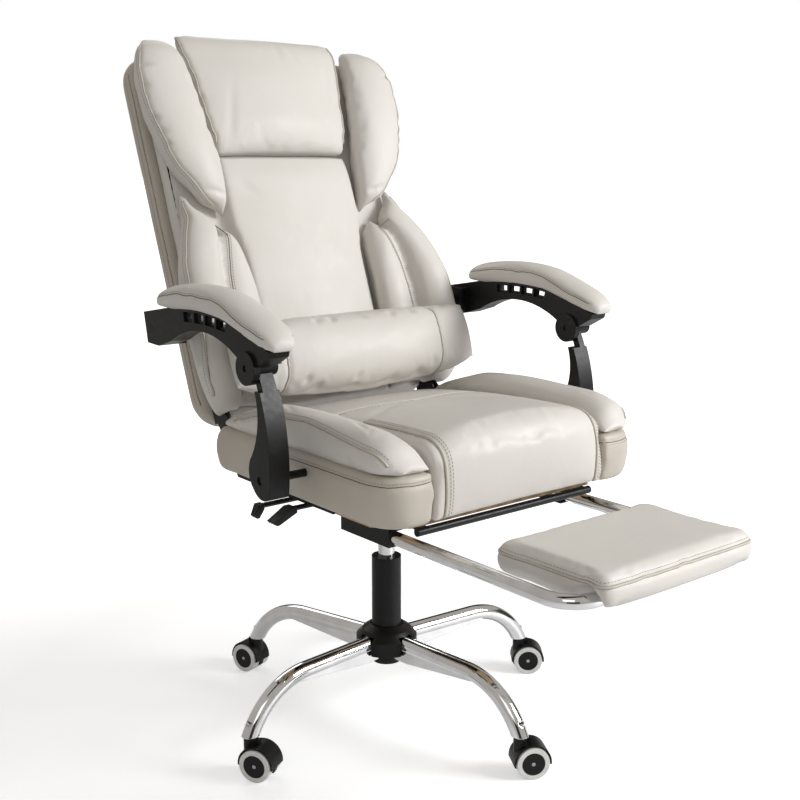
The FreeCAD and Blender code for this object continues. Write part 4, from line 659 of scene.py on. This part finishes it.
def dress_seat():
    # The seat box wears the darker copy of the leather: painted shade.
    box = cover("seat_box", "seat", 0.006, 0.0006, 0.003, skin=SHADED_SIDE_LEATHER, swell=0.0004, rounds=2)
    low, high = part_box("seat_box")
    middle = ((low.x + high.x) / 2, (low.y + high.y) / 2)
    for side, tag in ((-1, "left"), (1, "right")):
        first, last = (math.radians(-108), math.radians(-192)) if side < 0 else (math.radians(-72), math.radians(12))
        line = girdle(box.data, middle, high.z - 0.009, first, last, 80)
        plain_seam("box_top_" + tag, box, "seat", line, offsets=(-0.004,), depth=0.0016)

    cushion = cover("seat_cushion", "seat", 0.005, 0.0015, 0.0035, wave=0.16, swell=0.0009)
    for across in (-0.152, 0.152):
        tag = "cushion_left" if across < 0 else "cushion_right"
        line = roll_line(cushion.data, across)
        welted_seam(tag, cushion, "seat", line, radius=0.0022, rows=(0.0065, 0.0105))
    seam = [Vector((-0.15 + 0.3 * k / 40, -0.07 - 0.012 * math.cos(math.pi * (k / 20 - 1)), 0.6)) for k in range(41)]
    laid, _ = seat_on(cushion.data, seam, 0)
    plain_seam("cushion_cross", cushion, "seat", even_line(laid, 0.004), depth=0.003, width=0.006)
    press_fold(cushion.data, (-0.1, -0.12, 0.58), Vector((1, 0.5, 0)), 0.05, 0.016, 0.002)
    press_fold(cushion.data, (0.08, -0.14, 0.58), Vector((1, -0.4, 0)), 0.06, 0.016, 0.0018)

    for side, tag in ((-1, "left"), (1, "right")):
        bolster = cover("seat_bolster_" + tag, "seat", 0.005, 0.003, 0.009, pressure=5)
        facing = RIGHTWARDS * side + UPWARDS * 0.8
        line = ridge(bolster.data, FORWARDS, -0.07, 0.312, facing)
        welted_seam("bolster_%s" % tag, bolster, "seat", line, radius=0.0018)
        for across, along_y, turn, length, depth in (
            (0.222, -0.285, 0.5, 0.022, 0.0055),
            (0.205, -0.272, -0.2, 0.02, 0.004),
            (0.236, -0.262, 0.9, 0.018, 0.004),
            (0.218, -0.22, 0.3, 0.025, 0.0022),
            (0.225, -0.05, 0.4, 0.03, 0.002),
        ):
            along = Vector((side * turn, -1, 0))
            press_fold(bolster.data, (side * across, along_y, 0.585), along, length, 0.006, depth)


def roll_line(mesh, across):
    """Line over the cushion's top and down its front roll at one place across."""
    tree = BVHTree.FromPolygons([v.co for v in mesh.vertices], [p.vertices for p in mesh.polygons])
    line = []
    for step in range(36):
        start = Vector((across, -0.14 - 0.15 * step / 35, 0.8))
        hit = tree.ray_cast(start, -UPWARDS)[0]
        if hit:
            line.append(hit)
    for step in range(30):
        start = Vector((across, -0.6, 0.56 - 0.1 * step / 29))
        hit = tree.ray_cast(start, -FORWARDS)[0]
        if hit:
            line.append(hit)
    return even_line(line, 0.004)


def dress_footrest():
    pad = cover("footrest_pad", "footrest_flap", 0.004, 0.0012, 0.005, swell=0.0006)
    low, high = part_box("footrest_pad")
    middle = ((low.x + high.x) / 2, (low.y + high.y) / 2)
    line = girdle(pad.data, middle, high.z - 0.008, 0, 2 * math.pi, 260)
    welted_seam("footpad", pad, "footrest_flap", line, radius=0.0018, rows=(0.006,), depth=0.001)


def dress_arms():
    for side, tag in ((-1, "left"), (1, "right")):
        body = "arm_" + tag
        pad = cover("arm_pad_" + tag, body, 0.004, 0.0012, 0.005, swell=0.0004)
        low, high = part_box("arm_pad_" + tag)
        for face in (-1, 1):
            facing = RIGHTWARDS * face + UPWARDS * 0.25
            line = ridge(pad.data, FORWARDS, -high.y + 0.012, -low.y - 0.014, facing)
            word = "outer" if face == side else "inner"
            plain_seam("arm_%s_%s" % (tag, word), pad, body, line, offsets=(0.003,), depth=0.0012)


# Stage, light and camera


def build_stage():
    mesh = bpy.data.meshes.new("floor")
    reach = 60
    mesh.from_pydata([(-reach, -reach, 0), (reach, -reach, 0), (reach, reach, 0), (-reach, reach, 0)], [], [(0, 1, 2, 3)])
    floor = new_object("floor", mesh)
    made, tree, shader = material("pale_floor")
    shade = noise_of(tree, 3, 2)
    tree.links.new(
        mixed_colour(tree, ranged(tree, shade, 0, 1), (0.78, 0.795, 0.815), (0.81, 0.825, 0.845)), shader.inputs["Base Color"]
    )
    shader.inputs["Roughness"].default_value = 0.5
    rays = tree.nodes.new("ShaderNodeLightPath")
    place = tree.nodes.new("ShaderNodeTexCoord")
    distance = tree.nodes.new("ShaderNodeVectorMath")
    distance.operation = "LENGTH"
    tree.links.new(place.outputs["Object"], distance.inputs[0])
    glow = tree.nodes.new("ShaderNodeMath")
    glow.operation = "MULTIPLY"
    tree.links.new(rays.outputs["Is Camera Ray"], glow.inputs[0])
    tree.links.new(ranged(tree, distance.outputs["Value"], FLOOR_GLOW, 1, 0.7, 2.2), glow.inputs[1])
    shader.inputs["Emission Color"].default_value = (1, 1, 1, 1)
    tree.links.new(glow.outputs[0], shader.inputs["Emission Strength"])
    mesh.materials.append(made)


FLOOR_GLOW = 0.42


def dark_card(name, middle, width, height, facing, tone):
    """Grey card out of view that the chrome reflects; it casts no shade on the leather."""
    mesh = bpy.data.meshes.new(name)
    w, h = width / 2, height / 2
    mesh.from_pydata([(-w, -h, 0), (w, -h, 0), (w, h, 0), (-w, h, 0)], [], [(0, 1, 2, 3)])
    card = new_object(name, mesh)
    card.matrix_world = Matrix.Translation(middle) @ Vector(facing).to_track_quat("Z", "Y").to_matrix().to_4x4()
    made, tree, shader = material(name + "_tone")
    shader.inputs["Base Color"].default_value = (tone, tone, tone, 1)
    shader.inputs["Roughness"].default_value = 1
    mesh.materials.append(made)
    card.visible_diffuse = False
    card.visible_shadow = False
    card.visible_camera = False


def area_light(name, place, aim, size, power):
    lamp = bpy.data.lights.new(name, "AREA")
    lamp.shape = "RECTANGLE"
    lamp.size = size[0]
    lamp.size_y = size[1]
    lamp.energy = power
    obj = bpy.data.objects.new(name, lamp)
    scene.collection.objects.link(obj)
    direction = Vector(aim) - Vector(place)
    obj.matrix_world = Matrix.Translation(place) @ direction.to_track_quat("-Z", "Y").to_matrix().to_4x4()


def light_scene():
    world = bpy.data.worlds.new("studio")
    world.use_nodes = True
    scene.world = world
    tree = world.node_tree
    sky = tree.nodes["Background"]
    rays = tree.nodes.new("ShaderNodeLightPath")
    tree.links.new(mixed_colour(tree, rays.outputs["Is Camera Ray"], ROOM_TONE, (1, 1, 1)), sky.inputs["Color"])
    area_light("key_light", (2.2, -2.7, 2.1), (0, 0, 0.6), (1.5, 1.5), 128)
    area_light("fill_light", (-2.2, -2.2, 2.2), (0, 0, 0.6), (1.6, 1.6), 7)
    area_light("rear_light", (0.6, 2.6, 2.4), (0, 0, 0.7), (1.8, 1.2), 14)
    dark_card("dark_card_above", Vector((-0.3, -0.6, 3.4)), 3.2, 1.0, (0, 0, -1), 0.02)
    dark_card("dark_card_front", Vector((-2.4, -3.4, 0.9)), 2.2, 1.6, (0.6, 0.8, 0), 0.03)
    dark_card("dark_card_behind", Vector((2.0, 2.6, 1.45)), 3.4, 2.5, (-0.6, -0.8, 0), 0.02)
    dark_card("dark_card_side", Vector((3.2, -0.8, 0.7)), 2.4, 1.2, (-1, 0.2, 0), 0.04)


# Light of the room on the chair: softer than the white that the camera sees, and a little warm
ROOM_TONE = (0.42, 0.4, 0.372)


def place_camera():
    data = bpy.data.cameras.new("camera")
    data.lens = CAMERA_LENS
    data.sensor_width = 36
    data.clip_end = 200
    camera = bpy.data.objects.new("camera", data)
    scene.collection.objects.link(camera)
    forward = Vector((-math.sin(CAMERA_AZIMUTH), math.cos(CAMERA_AZIMUTH), 0)) * math.cos(CAMERA_DIP)
    forward.z = -math.sin(CAMERA_DIP)
    camera.matrix_world = Matrix.Translation(CAMERA_PLACE) @ forward.to_track_quat("-Z", "Y").to_matrix().to_4x4()
    scene.camera = camera


scene.view_settings.view_transform = "Standard"
finish_hard_parts()
place_camera()
light_scene()
build_stage()
dress_back()
dress_wings()
dress_back_bolsters()
dress_pillow()
dress_seat()
dress_footrest()
dress_arms()
